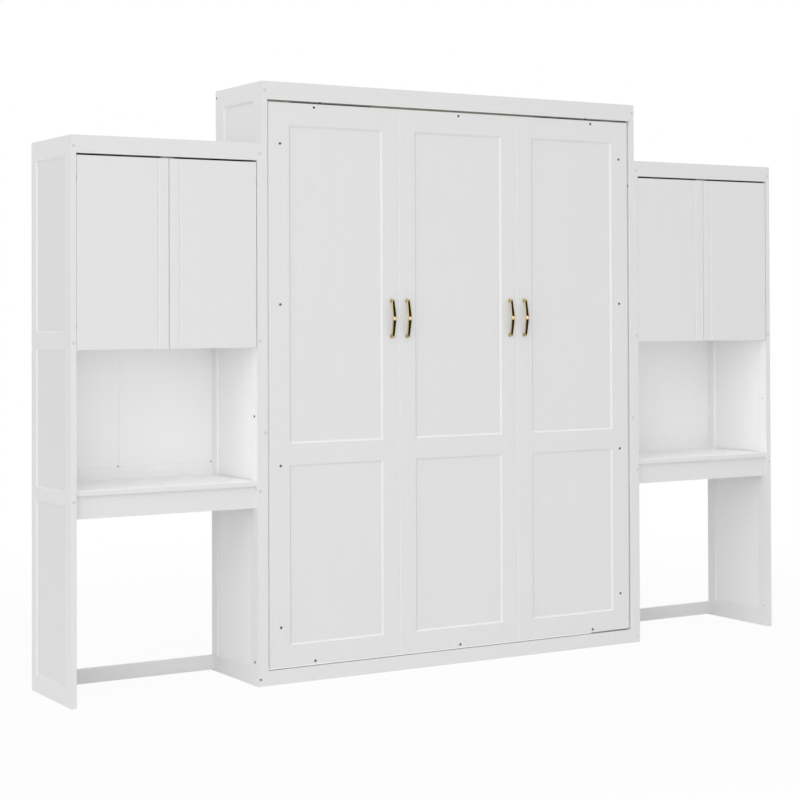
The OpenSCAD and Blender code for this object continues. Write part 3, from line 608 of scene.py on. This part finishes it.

# Where a paint recipe names a mask, the faces that it picks get painted light or a painted
# highlight.
RECIPES = {
    "paint_upright": partial(painted_wood, "Paint, upright grain", "z"),
    "paint_across": partial(painted_wood, "Paint, level grain", "x"),
    "paint_face": partial(
        painted_wood,
        "Paint, bed face",
        "z",
        rails=("x", 0, COLUMN_RAILS),
        light=0.94,
        painted_light_mask=painted_highlight_on_slopes,
    ),
    "paint_cabinet_side": partial(
        painted_wood,
        "Paint, cabinet side",
        "z",
        rails=("y", 1, CABINET_RAILS),
        painted_light_mask=painted_light_beside_face,
    ),
    "paint_unit_side": partial(
        painted_wood,
        "Paint, unit side",
        "z",
        rails=("y", 1, UNIT_RAILS),
        light=0.92,
        painted_light_mask=painted_light_on_unit_side,
    ),
    "paint_side_panel": partial(
        painted_wood,
        "Paint, unit side panel",
        "z",
        shade=0.955,
        light=0.95,
        painted_light_mask=painted_light_on_side_panel,
    ),
    "paint_back_board": partial(
        painted_wood, "Paint, back board", "z", light=0.93, painted_light_mask=painted_light_in_nook
    ),
    "paint_desk_top": partial(painted_wood, "Paint, desk top", "x", painted_light_mask=painted_light_in_nook),
    "paint_door": partial(painted_wood, "Paint, door", "z", painted_light_mask=painted_light_between_doors),
    "wood_across": partial(bare_wood, "Lacquered wood, level grain", "x"),
    "wood_upright": partial(bare_wood, "Lacquered wood, upright grain", "z"),
    "brass": partial(brushed, "Polished brass", "brass", 0.10, 1200.0, "z"),
    # A darker copy of the brass: painted shade on the handles' feet, posts and arm sides.
    "shaded_brass": partial(brushed, "Shaded brass", "shaded_brass", 0.16, 1200.0, "z"),
    # A dark colour on the arms' fronts: a painted dark reflection in the brass.
    "bronze": partial(brushed, "Dark bronze inlay", "bronze", 0.16, 1200.0, "z"),
    "zinc": partial(brushed, "Zinc-plated steel", "zinc", 0.30, 700.0, "y"),
    "rod": partial(brushed, "Ground steel rod", "zinc", 0.12, 1600.0, "z"),
    "black_steel": partial(
        brushed, "Black painted steel", "black", 0.36, 500.0, "z", metallic=0.0, coat=0.3
    ),
    "bolt": partial(brushed, "Browned bolt steel", "bolt", 0.38, 800.0, "x", metallic=0.6),
    "link_bolt": partial(
        brushed, "Link bolt steel", "bolt", 0.38, 800.0, "x", metallic=0.6, covered="cap"
    ),
    "cap": partial(moulded, "Cover cap plastic", "cap", 0.40),
    "catch": partial(moulded, "Catch plastic", "catch", 0.45),
    "rubber": partial(moulded, "Rubber", "rubber", 0.70),
}
FINISHES = {}


def finish_for(key):
    """Makes each finish once, when a piece first asks for it."""
    if key not in FINISHES:
        FINISHES[key] = RECIPES[key]()
    return FINISHES[key]


# ---------------------------------------------------------------- mesh helpers

# In degrees: faces that meet below the first are one face, and above the second make an edge.
FLAT_ANGLE, EDGE_ANGLE = 1.0, 28.0
HEAD_STEPS = 24


def soften(piece, width):
    """Rounds the piece's edges a little, as sanding and paint do."""
    flat = piece.modifiers.new("Merge flats", "DECIMATE")
    flat.decimate_type = "DISSOLVE"
    flat.angle_limit = math.radians(FLAT_ANGLE)
    edge = piece.modifiers.new("Soft edge", "BEVEL")
    edge.width = width
    edge.segments = 2
    edge.limit_method = "ANGLE"
    edge.angle_limit = math.radians(EDGE_ANGLE)
    edge.use_clamp_overlap = True
    even = piece.modifiers.new("Even light", "WEIGHTED_NORMAL")
    even.keep_sharp = True
    even.weight = 60


def dress(node, key, width=0.0):
    """Gives a CAD node its finish and, where asked, soft edges."""
    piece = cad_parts[node]
    piece.data.materials.clear()
    piece.data.materials.append(finish_for(key))
    if width:
        soften(piece, width)


def made_object(name, mesh, *materials):
    """Turns a bmesh into a named object with its materials."""
    data = bpy.data.meshes.new(name)
    bmesh.ops.recalc_face_normals(mesh, faces=mesh.faces)
    mesh.to_mesh(data)
    mesh.free()
    for material in materials:
        data.materials.append(material)
    made = bpy.data.objects.new(name, data)
    bpy.context.scene.collection.objects.link(made)
    return made


def new_piece(name, mesh, keys, body, sharp=35.0):
    """Turns a bmesh into a piece on its body, smooth up to an angle of sharp degrees."""
    piece = made_object(name, mesh, *(finish_for(key) for key in keys))
    piece.data.shade_smooth()
    piece.data.set_sharp_from_angle(angle=math.radians(sharp))
    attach(piece, body)
    return piece


def ring_maker(mesh, centre, axis, steps):
    """Gives a function that adds a ring of vertices about an axis, at a height along it.

    The ring's reach is a length or a function of the angle, and a ring of no reach is a point.
    """
    centre = Vector(centre)
    turn = Vector((0, 0, 1)).rotation_difference(Vector(axis)).to_matrix()

    def ring(reach, height):
        made = []
        for step in range(steps if reach else 1):
            angle = math.tau * step / steps
            radius = reach(angle) if callable(reach) else reach
            spot = Vector((radius * math.cos(angle), radius * math.sin(angle), height))
            made.append(mesh.verts.new(centre + turn @ spot))
        return made

    return ring


def bridge(mesh, low, high):
    """Joins two rings of vertices, or a ring and a point, with faces."""
    count = max(len(low), len(high))
    made = []
    for step in range(count):
        following = (step + 1) % count
        corners = [low[0]] if len(low) == 1 else [low[step], low[following]]
        corners += [high[0]] if len(high) == 1 else [high[following], high[step]]
        made.append(mesh.faces.new(corners))
    return made


def skin(mesh, rings):
    """Joins neighbouring rings with faces, closes the ends, and gives back the walls' faces."""
    walls = [bridge(mesh, low, high) for low, high in zip(rings, rings[1:])]
    for ring in (rings[0], rings[-1]):
        if len(ring) > 1:
            mesh.faces.new(ring)
    return walls


def turned(mesh, profile, centre, axis, steps=32):
    """Spins a profile of (radius, height) pairs about an axis through centre."""
    ring = ring_maker(mesh, centre, axis, steps)
    skin(mesh, [ring(radius, height) for radius, height in profile])


def socket_head(mesh, centre, axis, radius, height, hex_radius, depth):
    """A bolt head with a rounded rim and a six-sided socket."""
    ring = ring_maker(mesh, centre, axis, HEAD_STEPS)
    sector = math.tau / 6
    rim = radius * 0.12

    def six_sided(size):
        inner = size * math.cos(sector / 2)
        return lambda angle: inner / math.cos(angle % sector - sector / 2)

    rings = (
        (radius, 0.0),
        (radius, height - rim),
        (radius - rim * 0.3, height - rim * 0.3),
        (radius - rim, height),
        (six_sided(hex_radius * 1.08), height),
        (six_sided(hex_radius), height - depth * 0.15),
        (six_sided(hex_radius), height - depth),
    )
    skin(mesh, [ring(reach, rise) for reach, rise in rings])


def screw_head(mesh, centre, axis, radius):
    """A countersunk screw head with a cross recess, standing a hair proud."""
    ring = ring_maker(mesh, centre, axis, HEAD_STEPS)

    def cross(share):
        size = radius * share
        return lambda angle: size * (0.16 + 0.30 * abs(math.cos(2 * angle)) ** 3)

    rings = (
        (radius, 0.0),
        (radius * 0.97, 0.10),
        (radius * 0.80, 0.17),
        (radius * 0.52, 0.20),
        (cross(1.0), 0.20),
        (cross(0.72), -0.12),
    )
    skin(mesh, [ring(reach, radius * rise) for reach, rise in rings])


def rounded_block(mesh, low, high, radius):
    """A box with all its edges rounded."""
    made = bmesh.ops.create_cube(mesh, size=1.0)["verts"]
    low, high = Vector(low), Vector(high)
    bmesh.ops.scale(mesh, vec=high - low, verts=made)
    bmesh.ops.translate(mesh, vec=(low + high) / 2, verts=made)
    edges = list({edge for vert in made for edge in vert.link_edges})
    bmesh.ops.bevel(mesh, geom=edges, offset=radius, segments=2, affect="EDGES", profile=0.5)


# ---------------------------------------------------------------- operators

OPERATORS = []


def listed(operator):
    """Keeps the operators in the order in which they run."""
    OPERATORS.append(operator)
    return operator


class Step:
    """What all the steps have in common."""

    bl_options = {"REGISTER", "UNDO"}


@listed
class WALLBED_OT_stage(Step, bpy.types.Operator):
    """Sets the pale floor, the soft light and the camera"""

    bl_idname = "wallbed.stage"
    bl_label = "Stage"

    def execute(self, context):
        stage = context.scene.wallbed_stage
        context.scene.view_settings.view_transform = "Standard"
        self.sky(context, stage)
        self.floor(stage)
        self.lamps(context, stage)
        self.camera(context)
        return {"FINISHED"}

    def sky(self, context, stage):
        """Soft light for the object, and white where the camera looks past it."""
        world = bpy.data.worlds.new("Plain studio")
        context.scene.world = world
        world.use_nodes = True
        board = Board(world.node_tree)
        soft, white = (
            board.node("ShaderNodeBackground", {}, {"Color": WHITE, "Strength": strength})
            for strength in (stage.sky, 1.0)
        )
        shader = board.mix_shaders(board.seen(), soft, white)
        board.node("ShaderNodeOutputWorld", {}, {"Surface": shader})

    def floor(self, stage):
        """A wide pale disc that keeps the object's shadow and fades to white further out."""
        mesh = bmesh.new()
        ring = ring_maker(mesh, (0, 0, 0), (0, 0, 1), FLOOR_STEPS)
        rings = [ring(radius, 0.0) for radius in FLOOR_RINGS]
        for low, high in zip(rings, rings[1:]):
            bridge(mesh, low, high)
        finish = Finish("Studio floor")
        pale = finish.surface(base_color=FLOOR_TONE, roughness=0.8, specular_ior_level=0.2)
        point = finish.stretched(finish.place(), (1.0, 1.0, 0.0))
        far = finish.node("ShaderNodeVectorMath", {"operation": "LENGTH"}, {0: point}, "Value")
        fade = ((far - SHADOW_REACH) / SHADOW_REACH).held()
        keep = stage.floor_keep + fade * (1.0 - stage.floor_keep)
        white = finish.node("ShaderNodeEmission", {}, {"Color": WHITE, "Strength": 1.0})
        material = finish.show(finish.mix_shaders(keep * finish.seen(), pale, white))
        floor = made_object("floor", mesh, material)
        floor.location.z = -FLOOR_DROP

    def lamps(self, context, stage):
        self.panel(context, "key", (KEY_SIZE, KEY_SIZE), stage.key, KEY_AIM, KEY_PLACE)
        wide = UNIT_OUTER[0].x - UNIT_INNER[1].x - NOOK_LAMP_GAP
        high = NOOK_HIGH - NOOK_LOW - NOOK_LAMP_GAP
        for side, way in SIDES:
            place = (way * NOOK_MIDDLE, FRONT + NOOK_LAMP_BEHIND, (NOOK_LOW + NOOK_HIGH) / 2)
            self.panel(context, f"nook_{side}", (wide, high), stage.nook, NOOK_AIM, place)
        for name, setting, aim in FILLS:
            sun = bpy.data.lights.new(name, "SUN")
            sun.energy = getattr(stage, setting)
            sun.angle = FILL_SPREAD
            self.hang(context, sun, aim, FILL_PLACE)

    def panel(self, context, name, size, power, aim, place):
        """A flat soft lamp, which shines from its front alone."""
        light = bpy.data.lights.new(name, "AREA")
        light.shape = "RECTANGLE"
        light.size, light.size_y = size
        light.energy = power
        self.hang(context, light, aim, place)

    def hang(self, context, light, aim, place):
        lamp = bpy.data.objects.new(light.name, light)
        lamp.location = place
        lamp.rotation_mode = "QUATERNION"
        lamp.rotation_quaternion = Vector(aim).to_track_quat("-Z", "Y")
        context.scene.collection.objects.link(lamp)

    def camera(self, context):
        data = bpy.data.cameras.new("photo_camera")
        data.sensor_fit = "HORIZONTAL"
        data.sensor_width = SENSOR
        data.lens = FOCAL * SENSOR / PICTURE
        data.shift_x = (PICTURE / 2 - LOOKS_AT[0]) / PICTURE
        data.shift_y = (LOOKS_AT[1] - PICTURE / 2) / PICTURE
        data.clip_start, data.clip_end = NEAREST, FARTHEST
        up = Vector((0, 0, 1))
        level = Vector((math.sin(YAW), math.cos(YAW), 0.0))
        right = Vector((math.cos(YAW), -math.sin(YAW), 0.0))
        ahead = level * math.cos(PITCH) + up * math.sin(PITCH)
        above = up * math.cos(PITCH) - level * math.sin(PITCH)
        side = right * math.cos(ROLL) + above * math.sin(ROLL)
        top = above * math.cos(ROLL) - right * math.sin(ROLL)
        turn = Matrix((side, top, -ahead)).transposed().to_4x4()
        camera = bpy.data.objects.new("photo_camera", data)
        camera.matrix_world = Matrix.Translation(CAMERA_PLACE) @ turn
        context.scene.collection.objects.link(camera)
        context.scene.camera = camera


@listed
class WALLBED_OT_paintwork(Step, bpy.types.Operator):
    """Paints the cabinet, the side units, the doors and the bed's face and rails"""

    bl_idname = "wallbed.paintwork"
    bl_label = "Paintwork"

    def execute(self, context):
        edge = context.scene.wallbed_paint.edge
        for side, _ in SIDES:
            dress(f"cabinet_side_{side}", "paint_cabinet_side", edge)
            for place in ("outer", "inner"):
                dress(f"{side}_side_{place}", "paint_unit_side", edge)
                dress(f"{side}_door_{place}", "paint_door", edge)
            dress(f"{side}_side_panels", "paint_side_panel")
            for part in ("top_board", "fascia", "cupboard_floor", "desk_apron", "stretcher"):
                dress(f"{side}_{part}", "paint_across", edge)
            dress(f"{side}_desk_top", "paint_desk_top", edge * 2)
            dress(f"{side}_back_board", "paint_back_board")
            dress(f"bed_side_rail_{side}", "paint_upright", edge)
        for part in ("top_board", "fascia", "bottom_rail", "back_rails"):
            dress(f"cabinet_{part}", "paint_across", edge)
        dress("cabinet_side_panels", "paint_upright")
        dress("stop_cleats", "paint_upright", edge)
        dress("bed_face_frame", "paint_face", edge)
        dress("bed_face_panels", "paint_upright")
        dress("bed_foot_rail", "paint_across", edge)
        dress("bed_head_rail", "paint_across", edge)
        return {"FINISHED"}


@listed
class WALLBED_OT_bed_base(Step, bpy.types.Operator):
    """Finishes the slats, ledges and beam that carry the mattress, and screws the slats down"""

    bl_idname = "wallbed.bed_base"
    bl_label = "Bed Base"

    def execute(self, context):
        edge = context.scene.wallbed_wood.edge
        dress("bed_slats", "wood_across", edge)
        dress("slat_ledges", "wood_upright", edge)
        dress("bed_centre_beam", "wood_upright", edge)
        low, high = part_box("bed_slats")
        step = (high.z - low.z - SLAT_WIDTH) / (SLATS - 1)
        mesh = bmesh.new()
        for index in range(SLATS):
            middle = low.z + SLAT_WIDTH / 2 + index * step
            for x in (low.x + SLAT_SCREW_INSET, 0.0, high.x - SLAT_SCREW_INSET):
                for lift in (-SLAT_SCREW_LIFT, SLAT_SCREW_LIFT):
                    place = (x, high.y - SLAT_SCREW_SUNK, middle + lift)
                    screw_head(mesh, place, (0, 1, 0), SLAT_SCREW)
        new_piece("slat_screws", mesh, ["zinc"], "bed")
        return {"FINISHED"}


@listed
class WALLBED_OT_handles(Step, bpy.types.Operator):
    """Builds the four brass bow handles with their feet, posts and beads"""

    bl_idname = "wallbed.handles"
    bl_label = "Handles"

    def execute(self, context):
        sizes = context.scene.wallbed_handle
        for side, _ in SIDES:
            node = f"pull_handles_{side}"
            low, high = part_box(node)
            mesh = bmesh.new()
            for x in (low.x + HANDLE_EDGE, high.x - HANDLE_EDGE):
                self.handle(mesh, sizes, x, low, high)
            # The bead in brass, the arms' fronts with a painted dark reflection, the rest with
            # painted shade.
            keys = ["brass", "bronze", "shaded_brass"]
            piece = new_piece(f"bow_{node}", mesh, keys, "bed", sharp=32.0)
            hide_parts(node)
        return {"FINISHED"}

    def handle(self, mesh, sizes, x, low, high):
        """One handle between the node's corners: a painted dark reflection on the arms' fronts,
        painted shade on the feet, posts and arm sides, and a bright bead in plain brass.
        """
        middle = (low.z + high.z) / 2
        half_span = (high.z - low.z) / 2 - HANDLE_EDGE
        rise = high.y - low.y - sizes.bead - HANDLE_STAND
        for way in (-1, 1):
            self.foot(mesh, sizes, (x, high.y, middle + way * half_span))
            self.arm(mesh, sizes, (x, high.y - HANDLE_STAND, middle), way * half_span, rise)
        self.bead(mesh, sizes, (x, low.y + sizes.bead, middle))

    def shade_new(self, mesh, earlier):
        """Gives the brass with painted shade to the faces made since, apart from the painted dark
        reflection.
        """
        for face in list(mesh.faces)[earlier:]:
            face.material_index = face.material_index or 2

    def foot(self, mesh, sizes, centre):
        """A flared foot and a post with a rounded top."""
        flare, post = sizes.foot, sizes.post
        profile = (
            (flare, 0.0),
            (flare, 0.0012),
            (flare * 0.95, 0.0019),
            (flare * 0.82, 0.0026),
            (post * 1.06, 0.0040),
            (post, 0.0060),
            (post * 0.98, HANDLE_STAND),
            (post * 0.86, HANDLE_STAND + 0.0022),
            (post * 0.52, HANDLE_STAND + 0.0034),
            (0.0, HANDLE_STAND + 0.0038),
        )
        earlier = len(mesh.faces)
        turned(mesh, profile, centre, (0, -1, 0), steps=40)
        self.shade_new(mesh, earlier)

    def arm(self, mesh, sizes, start, span, rise):
        """A flat bar that widens from the post to the bead, with a painted dark reflection along
        its front.
        """
        x, y, z = start
        rings = []
        for step in range(-1, ARM_STEPS + 1):
            share = max(step, 0) / ARM_STEPS
            wide = sizes.end + (sizes.middle - sizes.end) * share
            thick = sizes.thick
            over = ARM_OVER_POST * (1 - share)
            if step < 0:
                wide, thick = wide * ARM_END_SHARE, thick * ARM_END_SHARE
                over += ARM_END_LENGTH
            bow = y - rise * (share + ARM_BOW * share * (1 - share))
            level = z + span * (1 - share) + math.copysign(over, span)
            corners = ((x + wide * across, bow + thick * deep, level) for across, deep in ARM_SHAPE)
            rings.append([mesh.verts.new(corner) for corner in corners])
        earlier = len(mesh.faces)
        for wall in skin(mesh, rings)[1:]:
            wall[0].material_index = 1
        self.shade_new(mesh, earlier)

    def bead(self, mesh, sizes, centre):
        """A bead between two collars."""
        radius = sizes.bead
        turns = [math.pi * (step / BEAD_STEPS - 0.5) for step in range(1, BEAD_STEPS)]
        ball = [(math.cos(turn), BEAD_FLAT * math.sin(turn)) for turn in turns]
        lower_collar = [(reach, -height) for reach, height in COLLAR]
        for outline, steps in (
            ([(0.0, -BEAD_FLAT), *ball, (0.0, BEAD_FLAT)], 40),
            (lower_collar, 32),
            (COLLAR, 32),
        ):
            profile = [(radius * reach, radius * height) for reach, height in outline]
            turned(mesh, profile, centre, (0, 0, 1), steps=steps)


@listed
class WALLBED_OT_caps(Step, bpy.types.Operator):
    """Builds the domed cover caps on the front edges of the sides"""

    bl_idname = "wallbed.caps"
    bl_label = "Cover Caps"

    def execute(self, context):
        mesh = bmesh.new()
        profile = [(CAP_RADIUS * reach, CAP_PROUD * height) for reach, height in CAP_DOME]
        for _, way in SIDES:
            for board, heights in CAP_HEIGHTS:
                x = way * (board[0].x + board[1].x) / 2
                for z in heights:
                    turned(mesh, profile, (x, FRONT, z), (0, -1, 0), steps=28)
        piece = new_piece("domed_caps", mesh, ["cap"], "cabinet", sharp=60.0)
        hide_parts("cover_caps")
        return {"FINISHED"}


@listed
class WALLBED_OT_bolts(Step, bpy.types.Operator):
    """Finishes the bolts, and adds the screws and bolt heads that show in the nook and the gaps"""

    bl_idname = "wallbed.bolts"
    bl_label = "Bolts and Screws"

    def execute(self, context):
        dress("face_bolts", "bolt")
        dress("link_bolts", "link_bolt")
        dress("leg_bolts", "zinc")
        mesh = bmesh.new()
        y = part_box("left_back_board")[0].y + BACK_SCREW_SUNK
        for x, z in BACK_SCREWS:
            screw_head(mesh, (x, y, z), (0, -1, 0), BACK_SCREW)
        new_piece("back_board_screws", mesh, ["bolt"], "cabinet")
        mesh = bmesh.new()
        for _, way in SIDES:
            place = (way * CABINET_SIDE[0].x, INNER_BOLT_Y, INNER_BOLT_Z)
            socket_head(mesh, place, (-way, 0, 0), **INNER_BOLT)
        new_piece("inner_bolt_heads", mesh, ["bolt"], "cabinet", sharp=40.0)
        return {"FINISHED"}


@listed
class WALLBED_OT_rubber_pads(Step, bpy.types.Operator):
    """Builds the buffers under the cabinet's fascia and the pads on the stop strips"""

    bl_idname = "wallbed.rubber_pads"
    bl_label = "Buffers and Pads"

    def execute(self, context):
        mesh = bmesh.new()
        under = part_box("cabinet_fascia")[0].z
        for _, way in SIDES:
            place = (way * BUFFER_X, FRONT + BUFFER_INSET, under)
            turned(mesh, BUFFER, place, (0, 0, -1), steps=24)
        new_piece("fascia_buffers", mesh, ["rubber"], "cabinet", sharp=50.0)
        low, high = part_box("stop_cleats")
        mesh = bmesh.new()
        for _, way in SIDES:
            for z in (low.z + PAD_LIFT, high.z - PAD_LIFT):
                place = (way * (high.x - PAD_INSET), low.y, z)
                turned(mesh, PAD, place, (0, -1, 0), steps=28)
        new_piece("stop_pads", mesh, ["rubber"], "cabinet", sharp=60.0)
        return {"FINISHED"}


@listed
class WALLBED_OT_pivots(Step, bpy.types.Operator):
    """Finishes the bed's pivot plates, brackets and legs, and screws the plates down"""

    bl_idname = "wallbed.pivots"
    bl_label = "Pivots and Legs"

    def execute(self, context):
        for side, way in SIDES:
            dress(f"pivot_plate_{side}", "zinc", PLATE_EDGE)
            dress(f"bed_bracket_{side}", "zinc", PLATE_EDGE)
            dress(f"foot_leg_{side}", "black_steel", PLATE_EDGE)
            low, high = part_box(f"pivot_plate_{side}")
            inner = high.x - PLATE_THICK if way > 0 else low.x + PLATE_THICK
            middle = (low.z + high.z) / 2 + PLATE_MIDDLE_UP
            mesh = bmesh.new()
            for y in (low.y + PLATE_INSET_Y, high.y - PLATE_INSET_Y):
                for z in (low.z + PLATE_INSET_Z, middle, high.z - PLATE_INSET_Z):
                    screw_head(mesh, (inner, y, z), (-way, 0, 0), PLATE_SCREW)
            new_piece(f"pivot_plate_screws_{side}", mesh, ["zinc"], "cabinet")
        return {"FINISHED"}


@listed
class WALLBED_OT_struts(Step, bpy.types.Operator):
    """Finishes the gas struts, and builds the raised rings round their cylinders"""

    bl_idname = "wallbed.struts"
    bl_label = "Gas Struts"

    def execute(self, context):
        for side, _ in SIDES:
            body = f"strut_cylinder_{side}"
            dress(body, "black_steel", CYLINDER_EDGE)
            dress(f"strut_rod_{side}", "rod", THIN_EDGE)
            low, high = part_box(body)
            rod_low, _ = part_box(f"strut_rod_{side}")
            x = (low.x + high.x) / 2
            top = Vector((x, high.y - STRUT_END, high.z - STRUT_END))
            foot = Vector((x, rod_low.y + STRUT_END, rod_low.z + STRUT_END))
            mesh = bmesh.new()
            for start, run, radius in STRUT_RINGS:
                profile = (
                    (radius - RING_EDGE_IN, start),
                    (radius, start + RING_EDGE_ALONG),
                    (radius, start + run - RING_EDGE_ALONG),
                    (radius - RING_EDGE_IN, start + run),
                )
                turned(mesh, profile, top, foot - top, steps=36)
            name = f"strut_rings_{side}"
            new_piece(name, mesh, ["black_steel"], body, sharp=60.0)
        return {"FINISHED"}


@listed
class WALLBED_OT_door_fittings(Step, bpy.types.Operator):
    """Finishes the doors' hinge arms and catches, and sets two magnets into each catch"""

    bl_idname = "wallbed.door_fittings"
    bl_label = "Door Fittings"

    def execute(self, context):
        dress("door_hinge_arms", "zinc", THIN_EDGE)
        dress("magnet_catches", "catch", CATCH_EDGE)
        low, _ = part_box("magnet_catches")
        deep = [low.y + place for place in MAGNET_DEEP]
        high = [low.z + place for place in MAGNET_HIGH]
        for side, way in SIDES:
            centre = way * DOORS_MEET
            mesh = bmesh.new()
            for x in (centre - MAGNET_OFFSET, centre + MAGNET_OFFSET):
                near = (x - MAGNET_HALF, deep[0], high[0])
                rounded_block(mesh, near, (x + MAGNET_HALF, deep[1], high[1]), MAGNET_EDGE)
            new_piece(f"catch_magnets_{side}", mesh, ["zinc"], "cabinet")
        return {"FINISHED"}


# ---------------------------------------------------------------- add-on

GROUPS = {
    "wallbed_paint": WALLBED_PG_paint,
    "wallbed_wood": WALLBED_PG_wood,
    "wallbed_metal": WALLBED_PG_metal,
    "wallbed_handle": WALLBED_PG_handle,
    "wallbed_stage": WALLBED_PG_stage,
}


class WALLBED_PT_panel(bpy.types.Panel):
    """Lists the wall bed's steps and settings"""

    bl_idname = "WALLBED_PT_panel"
    bl_label = "Wall Bed"
    bl_space_type = "VIEW_3D"
    bl_region_type = "UI"
    bl_category = "Wall Bed"

    def draw(self, context):
        layout = self.layout
        for operator in OPERATORS:
            layout.operator(operator.bl_idname)
        for name, group in GROUPS.items():
            box = layout.box()
            box.label(text=group.__doc__)
            for key in group.__annotations__:
                box.prop(getattr(context.scene, name), key)


def register():
    for kind in (*GROUPS.values(), *OPERATORS, WALLBED_PT_panel):
        bpy.utils.register_class(kind)
    for name, group in GROUPS.items():
        setattr(bpy.types.Scene, name, bpy.props.PointerProperty(type=group))


def unregister():
    for name in GROUPS:
        delattr(bpy.types.Scene, name)
    for kind in reversed((*GROUPS.values(), *OPERATORS, WALLBED_PT_panel)):
        bpy.utils.unregister_class(kind)


def main():
    register()
    for operator in OPERATORS:
        family, action = operator.bl_idname.split(".")
        getattr(getattr(bpy.ops, family), action)()


if __name__ == "__main__":
    main()
